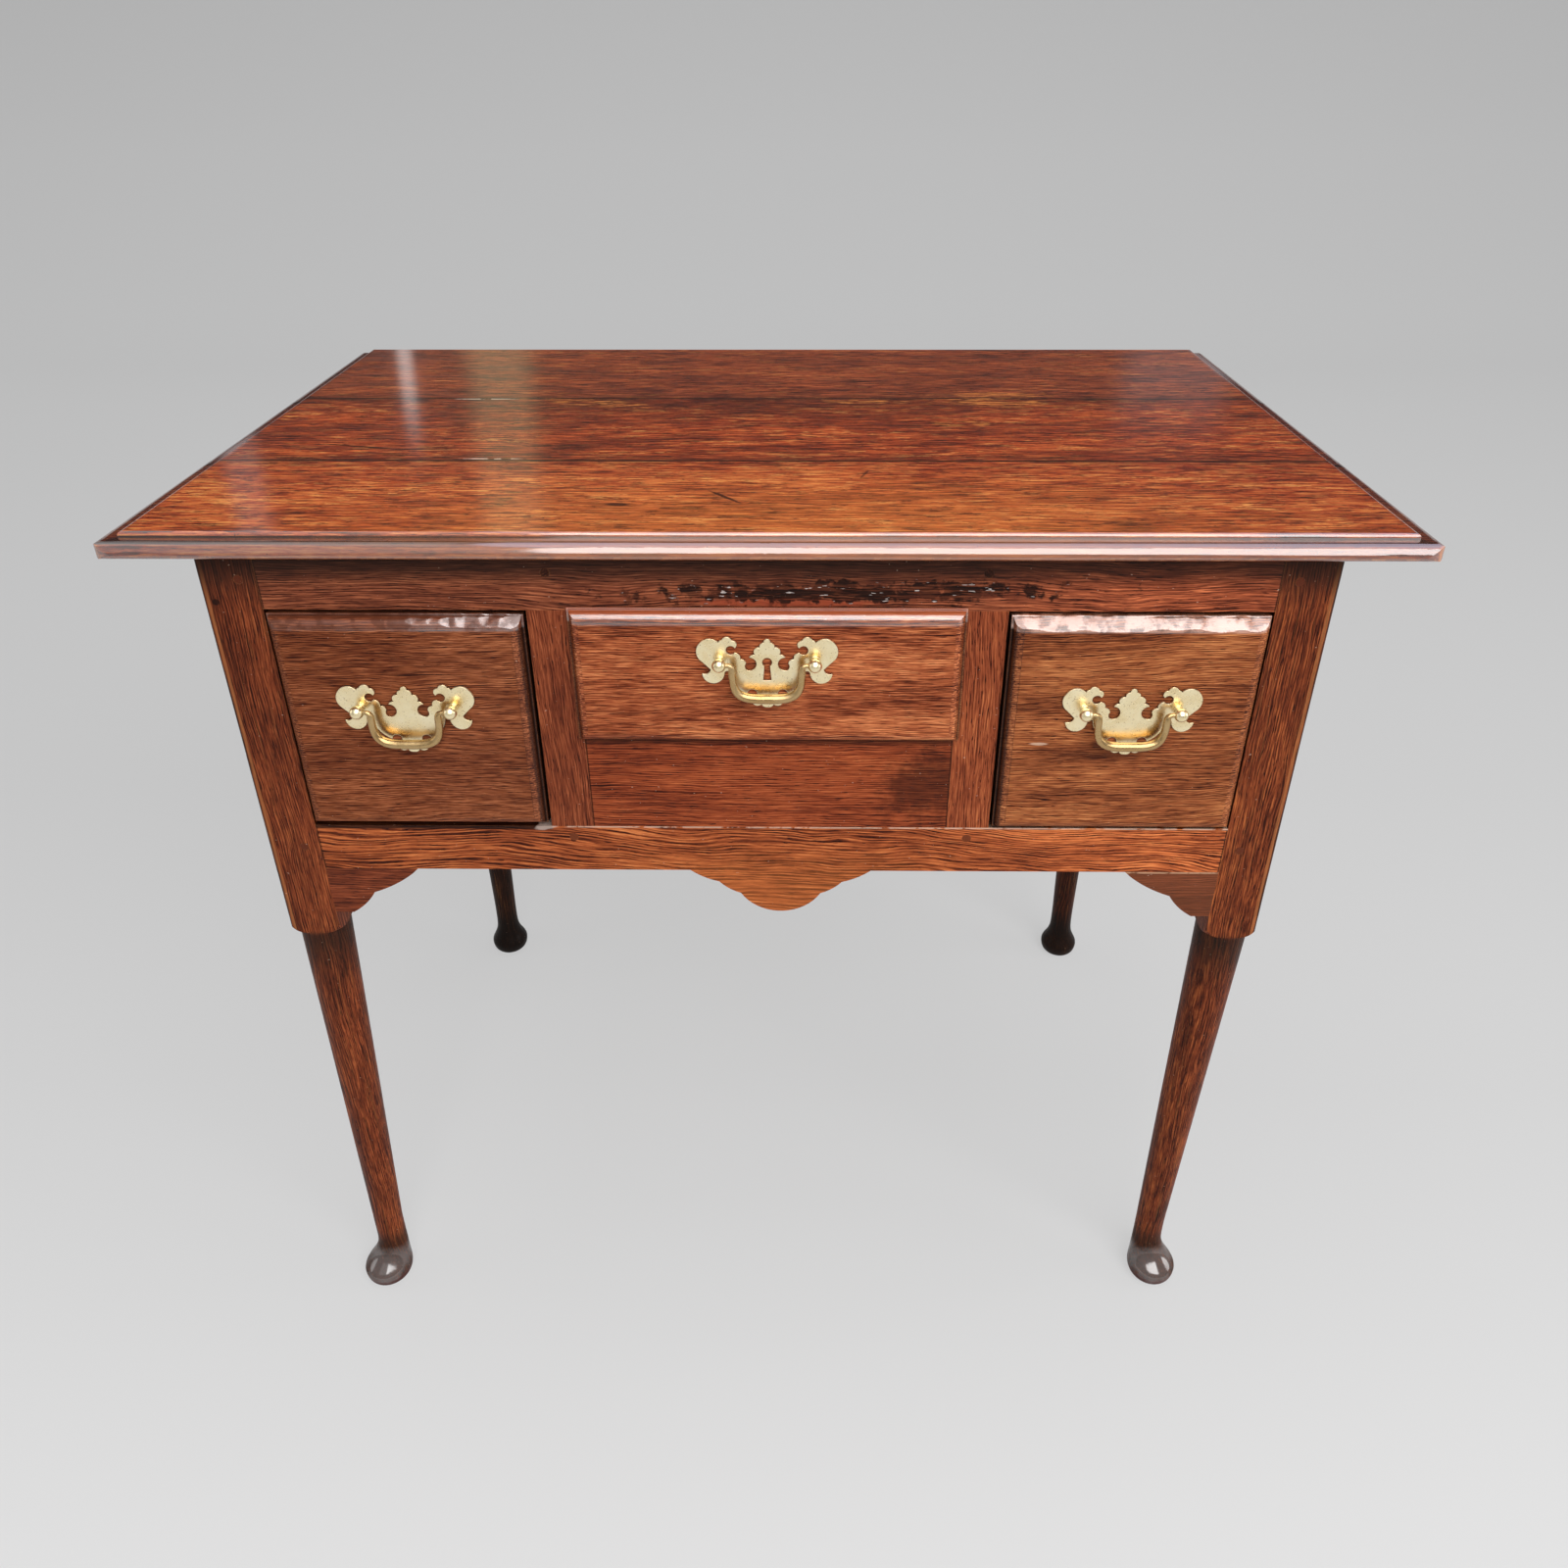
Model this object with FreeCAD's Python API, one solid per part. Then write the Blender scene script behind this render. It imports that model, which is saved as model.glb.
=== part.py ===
"""Oak lowboy: a moulded three-board top on a joined case with three drawers and four turned legs.

Frame: +X to the right, +Z up, and the front faces -Y. The origin lies on the floor under the middle
of the top. Sizes are millimetres.
"""
import FreeCAD
import Part
import math
import os

V = FreeCAD.Vector

# Heights of the front, from the floor up
turned_height = 391.0  # floor to the end of the square part of a leg
square_below_bracket = 20.0
bracket_height = 39.0
bottom_rail_height = 37.0
opening_height = 162.5  # the side drawers' openings
top_rail_height = 40.0
top_thickness = 14.0
centre_panel_height = 73.5  # the fixed panel under the middle drawer

# Widths of the front
centre_opening = 241.0
muntin_width = 28.5
side_opening = 163.0
post_size = 36.0
overhang_side = 49.5

# Depths
case_depth = 456.0
overhang_front = 22.0
overhang_back = 6.0

# Top
front_board_width = 150.0
middle_board_width = 161.0
mould_width = 13.6  # nose to the face of the fillet
mould_fillet = 3.0
mould_ledge = 6.4  # flat at the foot of the fillet
arris_radius = 2.2
under_width = 10.0  # the curve below the nose
under_height = 4.5
front_corner_radius = 14.0
back_corner_radius = 8.0
overcut = 5.0  # how far a cut runs past the wood

# Legs
post_arris = 3.0  # rounding of the outer corner of the square
shoulder_height = 12.0
leg_top_radius = 18.0
ankle_height = 60.0
ankle_radius = 11.6
pad_radius = 20.0
pad_base_radius = 14.0
pad_waist_height = 11.0  # height of the pad's widest ring
pad_throw = (5.0, 8.0)  # how far a front pad stands outward and forward of its leg
pad_swell = 2.8  # 1 spreads the slope of the pad up the ankle, more keeps it low
left_lean = (8.0, 4.0)  # how far the front left leg leans outward and forward down to its ankle
right_lean = (-3.0, -3.0)

# Joinery of the case
rail_thickness = 20.0
tenon_thickness = 8.0
tenon_setback = 7.0  # face of the rail to the tenon
tenon_shoulder = 5.0  # edge of the rail to the tenon
tenon_length = 22.0
muntin_tenon = 30.0
muntin_shoulder = 5.0
tongue_thickness = 6.0
tongue_length = 9.0
joint_gap = 0.1
peg_radius = 3.0
peg_length = 18.0
top_peg_rise = 25.0  # underside of the top rail to the pegs of the muntins
bottom_peg_drop = 9.0  # top of the bottom rail to the pegs of the muntins
side_thickness = 14.0
side_inset = 2.0
back_thickness = 12.0
back_inset = 6.0
centre_panel_thickness = 14.0

# Shaped edges under the bottom rail
bracket_reach = 65.0
bracket_toe = 13.0
bracket_cusp_reach = 31.0
bracket_cusp_drop = 21.0
bracket_tip = 4.0
bracket_thickness = 18.0
bracket_bow = 1.6
pendant_offset = 7.0  # the pendant stands a little right of the middle
pendant_drop = 36.0
pendant_half = 63.0
pendant_step_half = 43.0
pendant_step_drop = 10.0
pendant_lobe_half = 28.0
pendant_lobe_drop = 20.0
pendant_bow = 1.2

# Drawer runners, kickers, stops and the blocks that hold the top
runner_height = 22.0
runner_shelf = 15.0
guide_height = 12.0
kicker_height = 20.0
stop_height = 7.0
stop_width = 24.0
stop_reach = 30.0  # side of the opening to a stop
block_size = 18.0
block_length = 60.0

# Drawers
front_proud = 8.0
front_inside = 14.0  # part of the front's thickness inside the case
lip_thickness = 1.4
lip_fillet = 1.2
field_step = 0.4
lip_gap = 0.2
lip_side = 3.2  # how far the middle drawer's lip covers the muntins
lip_top = 2.5
lip_bottom = 3.0
lipped_gap = 1.2  # middle drawer front to its opening
front_gap_side = 1.9
front_gap_top = 1.8
left_gap_below = 4.5
right_gap_below = 2.8
board_thickness = 10.0  # drawer sides and backs
bottom_thickness = 7.0
bottom_rise = 8.5
groove_depth = 5.0
runner_gap = 0.2
headroom = 3.0
back_drop = 6.0  # drawer back below the sides
drawer_tail_gap = 14.0  # drawer back to the back board
tail_depth = 9.0
tail_slope = 1 / 6
tail_margin = 4.0
pin_width = 5.0
tail_pitch = 38.0  # the spacing that sets how many tails a corner has

# Handles
plate_thickness = 1.4
post_spacing = 59.5
side_handle_rise = 17.0  # middle of the opening to the posts
centre_handle_rise = 14.5
shank_radius = 2.2
shank_gap = 0.1
collar_radius = 3.4
collar_thickness = 1.2
neck_radius = 2.2
neck_length = 1.0
ball_radius = 4.4
nut_size = 9.0
nut_thickness = 3.0
shank_end = 1.5  # shank past the nut
pin_radius = 1.5
pin_gap = 0.06
pin_overshoot = 0.8  # pin hole past the ball's middle
bail_half = 21.5
bail_drop = 23.5
bail_square = 0.55  # 1 gives the grip an ellipse, less a squarer bow
bail_elbow = 3.0
bail_swell = 3.1  # radius at the middle of the grip
keyhole_radius = 3.1
keyhole_drop = 1.0  # posts' line to the middle of the keyhole's round
keyhole_neck = 1.6  # half widths of the keyhole's slot at its two ends
keyhole_foot = 2.6
keyhole_length = 12.8

# Levels
bracket_z = turned_height + square_below_bracket
rail_bottom_z = bracket_z + bracket_height
opening_bottom_z = rail_bottom_z + bottom_rail_height
opening_top_z = opening_bottom_z + opening_height
case_top_z = opening_top_z + top_rail_height
height = case_top_z + top_thickness
panel_top_z = opening_bottom_z + centre_panel_height

# Half widths
muntin_in = centre_opening / 2
muntin_out = muntin_in + muntin_width
post_in = muntin_out + side_opening
case_half = post_in + post_size
top_half = case_half + overhang_side
side_out = case_half - side_inset
side_in = side_out - side_thickness

# Planes across the depth
top_depth = overhang_front + case_depth + overhang_back
top_front_y = -top_depth / 2
front_y = top_front_y + overhang_front
back_y = front_y + case_depth
rail_back_y = front_y + rail_thickness
post_back_y = front_y + post_size
back_post_y = back_y - post_size
back_board_y = back_y - back_inset - back_thickness
leg_x = case_half - post_size / 2


def box(x0, x1, y0, y1, z0, z1):
    return Part.makeBox(x1 - x0, y1 - y0, z1 - z0, V(x0, y0, z0))


def grown(shape, gap):
    """The box round a square-cut tenon, tongue or panel, with gap on every side."""
    b = shape.BoundBox
    return box(b.XMin - gap, b.XMax + gap, b.YMin - gap, b.YMax + gap, b.ZMin - gap, b.ZMax + gap)


def mirrored(shape):
    return shape.mirror(V(0, 0, 0), V(1, 0, 0))


def both_sides(shape):
    return [shape, mirrored(shape)]


def fused(first, *others):
    return first.multiFuse(list(others)).removeSplitter()


class Outline:
    """A closed outline of lines and curves in a plane; place(a, b) puts its points in space."""

    def __init__(self, place, start):
        self.place = place
        self.start = start
        self.last = start
        self.edges = []

    def add(self, curve, end):
        self.edges.append(curve.toShape())
        self.last = end
        return self

    def line(self, *points):
        for point in points:
            self.add(Part.LineSegment(self.place(*self.last), self.place(*point)), point)
        return self

    def arc(self, via, end):
        return self.add(Part.Arc(self.place(*self.last), self.place(*via), self.place(*end)), end)

    def bow(self, sagitta, end):
        """An arc that stands off its chord by sagitta, to the left as it is drawn."""
        (a0, b0), (a1, b1) = self.last, end
        share = sagitta / math.hypot(a1 - a0, b1 - b0)
        via = ((a0 + a1) / 2 - share * (b1 - b0), (b0 + b1) / 2 + share * (a1 - a0))
        return self.arc(via, end)

    def quarter(self, corner, end):
        """A quarter of an ellipse that leaves towards corner and arrives from it."""
        curve = Part.BezierCurve()
        curve.setPoles([self.place(*point) for point in (self.last, corner, end)])
        curve.setWeight(2, math.sqrt(0.5))
        return self.add(curve, end)

    def face(self):
        if self.last != self.start:
            self.line(self.start)
        return Part.Face(Part.Wire(self.edges))


def in_front_plane(y):
    return lambda x, z: V(x, y, z)


# Top ------------------------------------------------------------------------------------------------


def moulded_slab(place, reach, sweep):
    """A slab with the top's moulding on its near edge; place(u, z) puts a point u in from the nose."""
    fillet_z = height - mould_fillet
    section = Outline(place, (mould_width + arris_radius, height))
    section.quarter((mould_width, height), (mould_width, height - arris_radius))
    section.line((mould_width, fillet_z), (mould_width - mould_ledge, fillet_z))
    section.quarter((0, fillet_z), (0, case_top_z + under_height))
    section.quarter((0, case_top_z), (under_width, case_top_z))
    section.line((reach, case_top_z), (reach, height))
    return section.face().extrude(sweep)


def corner_waste(y, radius, out):
    """What the rounding takes off the left corner of the top at y; out is 1 behind and -1 in front."""
    side = -top_half
    near, far = y - out * radius, y + out * overcut
    waste = Outline(lambda a, b: V(a, b, case_top_z), (side, near))
    waste.quarter((side, y), (side + radius, y))
    waste.line((side + radius, far), (side - overcut, far), (side - overcut, near))
    return waste.face().extrude(V(0, 0, top_thickness))


def top_boards():
    """The three boards of the top. The end moulding and the front one meet in a mitre."""
    y0, y1 = top_front_y, top_front_y + top_depth
    end = moulded_slab(lambda u, z: V(u - top_half, y0 - overcut, z), top_half, V(0, overcut + top_depth, 0))
    front = moulded_slab(
        lambda u, z: V(-top_half - overcut, y0 + u, z), top_depth + overcut, V(2 * overcut + top_half, 0, 0)
    )
    corners = [corner_waste(y0, front_corner_radius, -1), corner_waste(y1, back_corner_radius, 1)]
    left_half = end.common(front).cut(corners)
    joint_1 = y0 + front_board_width
    joint_2 = joint_1 + middle_board_width
    cuts = {
        "top_board_front": (y0, joint_1),
        "top_board_middle": (joint_1, joint_2),
        "top_board_back": (joint_2, y1),
    }
    boards = {}
    for name, (near, far) in cuts.items():
        half = left_half.common(box(-top_half, 0, near, far, case_top_z, height))
        boards[name] = fused(*both_sides(half))
    return boards


# Case -----------------------------------------------------------------------------------------------


def rail_tenon(z0, z1):
    """The left tenon of a front rail between the levels z0 and z1."""
    y0 = front_y + tenon_setback
    return box(
        -post_in - tenon_length, -post_in, y0, y0 + tenon_thickness, z0 + tenon_shoulder, z1 - tenon_shoulder
    )


def muntin_tenons():
    """The upper and lower tenon of the left muntin."""
    x0, x1 = -muntin_out + muntin_shoulder, -muntin_in - muntin_shoulder
    y0 = front_y + tenon_setback
    y1 = y0 + tenon_thickness
    upper = box(x0, x1, y0, y1, opening_top_z, opening_top_z + muntin_tenon)
    lower = box(x0, x1, y0, y1, opening_bottom_z - muntin_tenon, opening_bottom_z)
    return [upper, lower]


def peg(x, z, gap=0.0):
    return Part.makeCylinder(peg_radius + gap, peg_length, V(x, front_y, z), V(0, 1, 0))


def peg_places():
    """Middle of each peg on the left half of the front: two rails to the leg, two ends of the muntin."""
    x_leg = -post_in - tenon_length / 2
    x_muntin = -(muntin_in + muntin_out) / 2
    return [
        (x_leg, (opening_top_z + case_top_z) / 2),
        (x_leg, (rail_bottom_z + opening_bottom_z) / 2),
        (x_muntin, opening_top_z + top_peg_rise),
        (x_muntin, opening_bottom_z - bottom_peg_drop),
    ]


def pegs(gap=0.0):
    left = [peg(x, z, gap) for x, z in peg_places()]
    return left + [mirrored(shape) for shape in left]


def side_panel():
    x_mid = -(side_out + side_in) / 2
    body = box(-side_out, -side_in, post_back_y, back_post_y, rail_bottom_z, case_top_z)
    tongue = box(
        x_mid - tongue_thickness / 2,
        x_mid + tongue_thickness / 2,
        post_back_y - tongue_length,
        back_post_y + tongue_length,
        rail_bottom_z,
        case_top_z,
    )
    return body, tongue


def back_board():
    y_mid = back_board_y + back_thickness / 2
    body = box(-post_in, post_in, back_board_y, back_board_y + back_thickness, rail_bottom_z, case_top_z)
    tongue = box(
        -post_in - tongue_length,
        post_in + tongue_length,
        y_mid - tongue_thickness / 2,
        y_mid + tongue_thickness / 2,
        rail_bottom_z,
        case_top_z,
    )
    return body, tongue


def leg(is_front, lean=(0.0, 0.0)):
    """The left leg of the front or the back, as one turned and squared stick."""
    corner_radius = post_size / math.sqrt(2)
    half = post_size / 2
    arris = post_arris
    outer = -half if is_front else half  # side of the square that faces away from the case
    plan = Outline(lambda x, y: V(x, y, turned_height), (-half + arris, outer))
    plan.quarter((-half, outer), (-half, outer - math.copysign(arris, outer)))
    plan.line((-half, -outer), (half, -outer), (half, outer))
    square = plan.face().extrude(V(0, 0, case_top_z - turned_height))

    shoulder_z = turned_height + shoulder_height
    shoulder = Outline(in_front_plane(0), (0, turned_height))
    shoulder.line((leg_top_radius, turned_height))
    shoulder.quarter((corner_radius, turned_height), (corner_radius, shoulder_z))
    shoulder.line((corner_radius, case_top_z), (0, case_top_z))
    head = square.common(shoulder.face().revolve(V(0, 0, 0), V(0, 0, 1), 360))

    lean_x, lean_y = -lean[0], -lean[1]
    taper = Part.makeLoft(
        [ring(lean_x, lean_y, ankle_height, ankle_radius), ring(0, 0, turned_height, leg_top_radius)], True
    )
    foot = pad_foot(*(pad_throw if is_front else (0.0, 0.0)))
    foot.translate(V(lean_x, lean_y, 0))

    stick = fused(head, taper, foot)
    stick.translate(V(-leg_x, front_y + half if is_front else back_y - half, 0))
    return stick


def ring(x, y, z, radius):
    return Part.Wire(Part.Circle(V(x, y, z), V(0, 0, 1), radius).toShape())


def pad_foot(outward, forward):
    """The ankle that spreads into a pad out of line with the leg, down to the floor."""
    steps = 12
    rings = []
    for step in range(steps + 1):
        share = step / steps
        spread = (1 - math.cos(math.pi * share**pad_swell)) / 2
        z = ankle_height + (pad_waist_height - ankle_height) * share
        radius = ankle_radius + (pad_radius - ankle_radius) * spread
        rings.append(ring(-outward * spread, -forward * spread, z, radius))
    sole = Outline(in_front_plane(0), (0, pad_waist_height))
    sole.line((pad_radius, pad_waist_height))
    sole.quarter((pad_radius, 0), (pad_base_radius, 0))
    sole.line((0, 0))
    base = sole.face().revolve(V(0, 0, 0), V(0, 0, 1), 360)
    base.translate(V(-outward, -forward, 0))
    return fused(Part.makeLoft(rings, True), base)


def legs():
    side_tongue = grown(side_panel()[1], joint_gap)
    back_tongue = grown(back_board()[1], joint_gap)
    front_cuts = [grown(rail_tenon(opening_top_z, case_top_z), joint_gap)]
    front_cuts.append(grown(rail_tenon(rail_bottom_z, opening_bottom_z), joint_gap))
    front_cuts += [side_tongue] + pegs(joint_gap)
    back = leg(False).cut([side_tongue, back_tongue])
    return {
        "leg_front_left": leg(True, left_lean).cut(front_cuts),
        "leg_front_right": mirrored(leg(True, right_lean).cut(front_cuts)),
        "leg_back_left": back,
        "leg_back_right": mirrored(back),
    }


def top_rail():
    body = box(-post_in, post_in, front_y, rail_back_y, opening_top_z, case_top_z)
    rail = fused(body, *both_sides(rail_tenon(opening_top_z, case_top_z)))
    sockets = [grown(shape, joint_gap) for shape in both_sides(muntin_tenons()[0])]
    return rail.cut(sockets + pegs(joint_gap))


def bottom_rail():
    x = pendant_offset
    z = rail_bottom_z
    edge = Outline(in_front_plane(front_y), (-post_in, opening_bottom_z))
    edge.line((-post_in, z), (x - pendant_half, z))
    edge.bow(-pendant_bow, (x - pendant_step_half, z - pendant_step_drop))
    edge.bow(-pendant_bow, (x - pendant_lobe_half, z - pendant_lobe_drop))
    edge.arc((x, z - pendant_drop), (x + pendant_lobe_half, z - pendant_lobe_drop))
    edge.bow(-pendant_bow, (x + pendant_step_half, z - pendant_step_drop))
    edge.bow(-pendant_bow, (x + pendant_half, z))
    edge.line((post_in, z), (post_in, opening_bottom_z))
    body = edge.face().extrude(V(0, rail_thickness, 0))
    rail = fused(body, *both_sides(rail_tenon(rail_bottom_z, opening_bottom_z)))
    sockets = [grown(shape, joint_gap) for shape in both_sides(muntin_tenons()[1])]
    return rail.cut(sockets + pegs(joint_gap))


def bracket():
    """The left corner bracket, glued under the bottom rail and against the leg."""
    z = rail_bottom_z
    edge = Outline(in_front_plane(front_y), (-post_in, z))
    edge.line((-post_in, z - bracket_height), (-post_in + bracket_toe, z - bracket_height))
    edge.bow(-bracket_bow, (-post_in + bracket_cusp_reach, z - bracket_cusp_drop))
    edge.bow(-bracket_bow, (-post_in + bracket_reach - bracket_tip, z - bracket_tip))
    edge.line((-post_in + bracket_reach, z))
    return edge.face().extrude(V(0, bracket_thickness, 0))


def panel_tongue():
    """The left tongue of the fixed panel, in its muntin."""
    y_mid = front_y + centre_panel_thickness / 2
    return box(
        -muntin_in - tongue_length,
        -muntin_in,
        y_mid - tongue_thickness / 2,
        y_mid + tongue_thickness / 2,
        opening_bottom_z,
        panel_top_z,
    )


def muntin():
    """The left upright between two drawers."""
    body = box(-muntin_out, -muntin_in, front_y, rail_back_y, opening_bottom_z, opening_top_z)
    return fused(body, *muntin_tenons()).cut([grown(panel_tongue(), joint_gap)] + pegs(joint_gap))


def centre_panel():
    y1 = front_y + centre_panel_thickness
    body = box(-muntin_in, muntin_in, front_y, y1, opening_bottom_z, panel_top_z)
    return fused(body, *both_sides(panel_tongue()))


def outer_runner():
    """The runner under the left drawer's outer side, with its guide between the legs."""
    z = opening_bottom_z
    shelf = box(-post_in, -post_in + runner_shelf, rail_back_y, back_board_y, z - runner_height, z)
    behind = box(-side_in, -post_in, post_back_y, back_post_y, z - runner_height, z + guide_height)
    return fused(shelf, behind)


def inner_runner():
    """The runner under the left drawer's inner side, with its guide behind the muntin."""
    z = opening_bottom_z
    shelf = box(-muntin_out - runner_shelf, -muntin_in, rail_back_y, back_board_y, z - runner_height, z)
    guide = box(-muntin_out, -muntin_in, rail_back_y, back_board_y, z, z + guide_height)
    return fused(shelf, guide)


def centre_runner():
    """The left runner of the middle drawer, with its guide behind the muntin."""
    z = panel_top_z
    shelf = box(-muntin_out, -muntin_in + runner_shelf, rail_back_y, back_board_y, z - runner_height, z)
    guide = box(-muntin_out, -muntin_in, rail_back_y, back_board_y, z, z + guide_height)
    return fused(shelf, guide)


def kickers():
    """The bars over the drawers' sides that keep an open drawer level."""
    z0, z1 = opening_top_z, opening_top_z + kicker_height
    outer = box(-post_in, -post_in + runner_shelf, rail_back_y, back_board_y, z0, z1)
    inner = box(
        -muntin_out - runner_shelf, -muntin_in + runner_shelf, rail_back_y, back_board_y, z0, z1
    )
    return {"kickers_outer": both_sides(outer), "kickers_inner": both_sides(inner)}


def drawer_stops():
    y0 = front_y + front_inside + joint_gap
    z0, z1 = opening_bottom_z, opening_bottom_z + stop_height
    near = box(-post_in + stop_reach, -post_in + stop_reach + stop_width, y0, rail_back_y, z0, z1)
    far = box(-muntin_out - stop_reach - stop_width, -muntin_out - stop_reach, y0, rail_back_y, z0, z1)
    return both_sides(near) + both_sides(far)


def glue_blocks():
    """Square blocks in the corner of the top and the sides, two a side."""
    span = back_post_y - post_back_y
    blocks = []
    for share in (1 / 4, 3 / 4):
        y = post_back_y + span * share
        block = box(0, block_size, -block_length / 2, block_length / 2, -block_size, 0)
        block.translate(V(-side_in, y, case_top_z))
        blocks += both_sides(block)
    return blocks


# Drawers --------------------------------------------------------------------------------------------


def tails(z0, z1, y, depth, x0, x1):
    """Dovetails that reach from the shoulder at y by depth, evenly between the levels z0 and z1."""
    count = max(2, round((z1 - z0) / tail_pitch))
    pitch = (z1 - z0 + pin_width) / count
    spread = abs(depth) * tail_slope
    shapes = []
    for number in range(count):
        low = z0 + number * pitch
        high = low + pitch - pin_width
        tail = Outline(lambda a, b: V(x0, a, b), (y, low + spread))
        tail.line((y + depth, low), (y + depth, high), (y, high - spread))
        shapes.append(tail.face().extrude(V(x1 - x0, 0, 0)))
    return shapes


def moulded_edge(place, reach, sweep):
    """A plate with the drawer's ovolo on its near edge; place(u, w) is u in from the edge, w forward."""
    ovolo = front_proud - lip_thickness - field_step
    section = Outline(place, (0, 0))
    section.line((0, lip_thickness), (lip_fillet, lip_thickness))
    section.quarter((lip_fillet, lip_thickness + ovolo), (lip_fillet + ovolo, lip_thickness + ovolo))
    section.line((lip_fillet + ovolo, front_proud), (reach, front_proud), (reach, 0))
    return section.face().extrude(sweep)


def moulded_face(x0, x1, z0, z1, y):
    """The raised field of a drawer front with its ovolo on all four edges, standing forward of y."""
    wide, tall = x1 - x0, z1 - z0
    along_x, along_z = V(wide, 0, 0), V(0, 0, tall)
    left = moulded_edge(lambda u, w: V(x0 + u, y - w, z0), wide, along_z)
    right = moulded_edge(lambda u, w: V(x1 - u, y - w, z0), wide, along_z)
    low = moulded_edge(lambda u, w: V(x0, y - w, z0 + u), tall, along_x)
    high = moulded_edge(lambda u, w: V(x0, y - w, z1 - u), tall, along_x)
    return left.common(right).common(low).common(high)


class Drawer:
    """One drawer: its opening, the outline of its face and what of its front goes inside the case."""

    def __init__(self, name, x0, x1, z0, z1, gap_below, lipped, handle_rise):
        self.name = name
        self.lipped = lipped
        gap_side = lipped_gap if lipped else front_gap_side
        self.x0, self.x1 = x0 + gap_side, x1 - gap_side
        self.z0 = z0 + gap_below
        self.z1 = z1 - (lipped_gap if lipped else front_gap_top)
        self.runner_z = z0 + runner_gap
        self.side_top = z1 - headroom
        self.handle_x = (x0 + x1) / 2
        self.handle_z = (z0 + z1) / 2 + handle_rise
        self.face = (x0 - lip_side, x1 + lip_side, z0 - lip_bottom, z1 + lip_top)
        if not lipped:
            self.face = (self.x0, self.x1, self.z0, self.z1)
        self.inside_y = front_y + front_inside
        self.back_y = back_board_y - drawer_tail_gap
        self.floor_z = z0 + bottom_rise
        self.back_top = self.side_top - back_drop

    def front_tails(self, x0, x1):
        z0, z1 = self.floor_z + bottom_thickness, self.side_top
        return tails(z0 + tail_margin, z1 - tail_margin, self.inside_y, -tail_depth, x0, x1)

    def back_tails(self, x0, x1):
        z0, z1 = self.floor_z + bottom_thickness, self.back_top
        shoulder = self.back_y - board_thickness
        return tails(z0 + tail_margin, z1 - tail_margin, shoulder, board_thickness, x0, x1)

    def bottom(self):
        return box(
            self.x0 + board_thickness - groove_depth,
            self.x1 - board_thickness + groove_depth,
            self.inside_y - groove_depth,
            self.back_y,
            self.floor_z,
            self.floor_z + bottom_thickness,
        )

    def side(self, x0, x1):
        body = box(x0, x1, self.inside_y, self.back_y - board_thickness, self.runner_z, self.side_top)
        joined = fused(body, *self.front_tails(x0, x1), *self.back_tails(x0, x1))
        return joined.cut(grown(self.bottom(), joint_gap))

    def front(self):
        face_y = front_y - lip_gap if self.lipped else front_y
        x0, x1, z0, z1 = self.face
        field = moulded_face(x0, x1, z0, z1, front_y)
        if self.lipped:
            field = field.cut(box(x0, x1, face_y, front_y, z0, z1))
        inside = box(self.x0, self.x1, face_y, self.inside_y, self.z0, self.z1)
        shape = fused(field, inside)
        sockets = self.front_tails(self.x0, self.x0 + board_thickness)
        sockets += self.front_tails(self.x1 - board_thickness, self.x1)
        holes = [grown(self.bottom(), joint_gap)]
        holes += [along_y(x, self.handle_z, shank_radius + shank_gap, front_y - front_proud, self.inside_y)
                  for x in self.post_places()]
        return shape.cut(sockets + holes)

    def back(self):
        shape = box(
            self.x0,
            self.x1,
            self.back_y - board_thickness,
            self.back_y,
            self.floor_z + bottom_thickness + joint_gap,
            self.back_top,
        )
        sockets = self.back_tails(self.x0, self.x0 + board_thickness)
        sockets += self.back_tails(self.x1 - board_thickness, self.x1)
        return shape.cut(sockets)

    def post_places(self):
        return [self.handle_x - post_spacing / 2, self.handle_x + post_spacing / 2]

    def pieces(self):
        name = self.name
        x, z = self.handle_x, self.handle_z
        return {
            f"drawer_{name}_front": self.front(),
            f"drawer_{name}_side_left": self.side(self.x0, self.x0 + board_thickness),
            f"drawer_{name}_side_right": self.side(self.x1 - board_thickness, self.x1),
            f"drawer_{name}_back": self.back(),
            f"drawer_{name}_bottom": self.bottom(),
            f"backplate_{name}": backplate(x, z, self.lipped),
            f"bail_posts_{name}": [bail_post(x, z, side) for side in (-1, 1)],
            f"post_nuts_{name}": [post_nut(post_x, z) for post_x in self.post_places()],
            f"bail_{name}": bail(x, z),
        }


# Handles --------------------------------------------------------------------------------------------

plate_back_y = front_y - front_proud
plate_front_y = plate_back_y - plate_thickness
ball_y = plate_front_y - collar_thickness - neck_length - ball_radius

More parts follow.
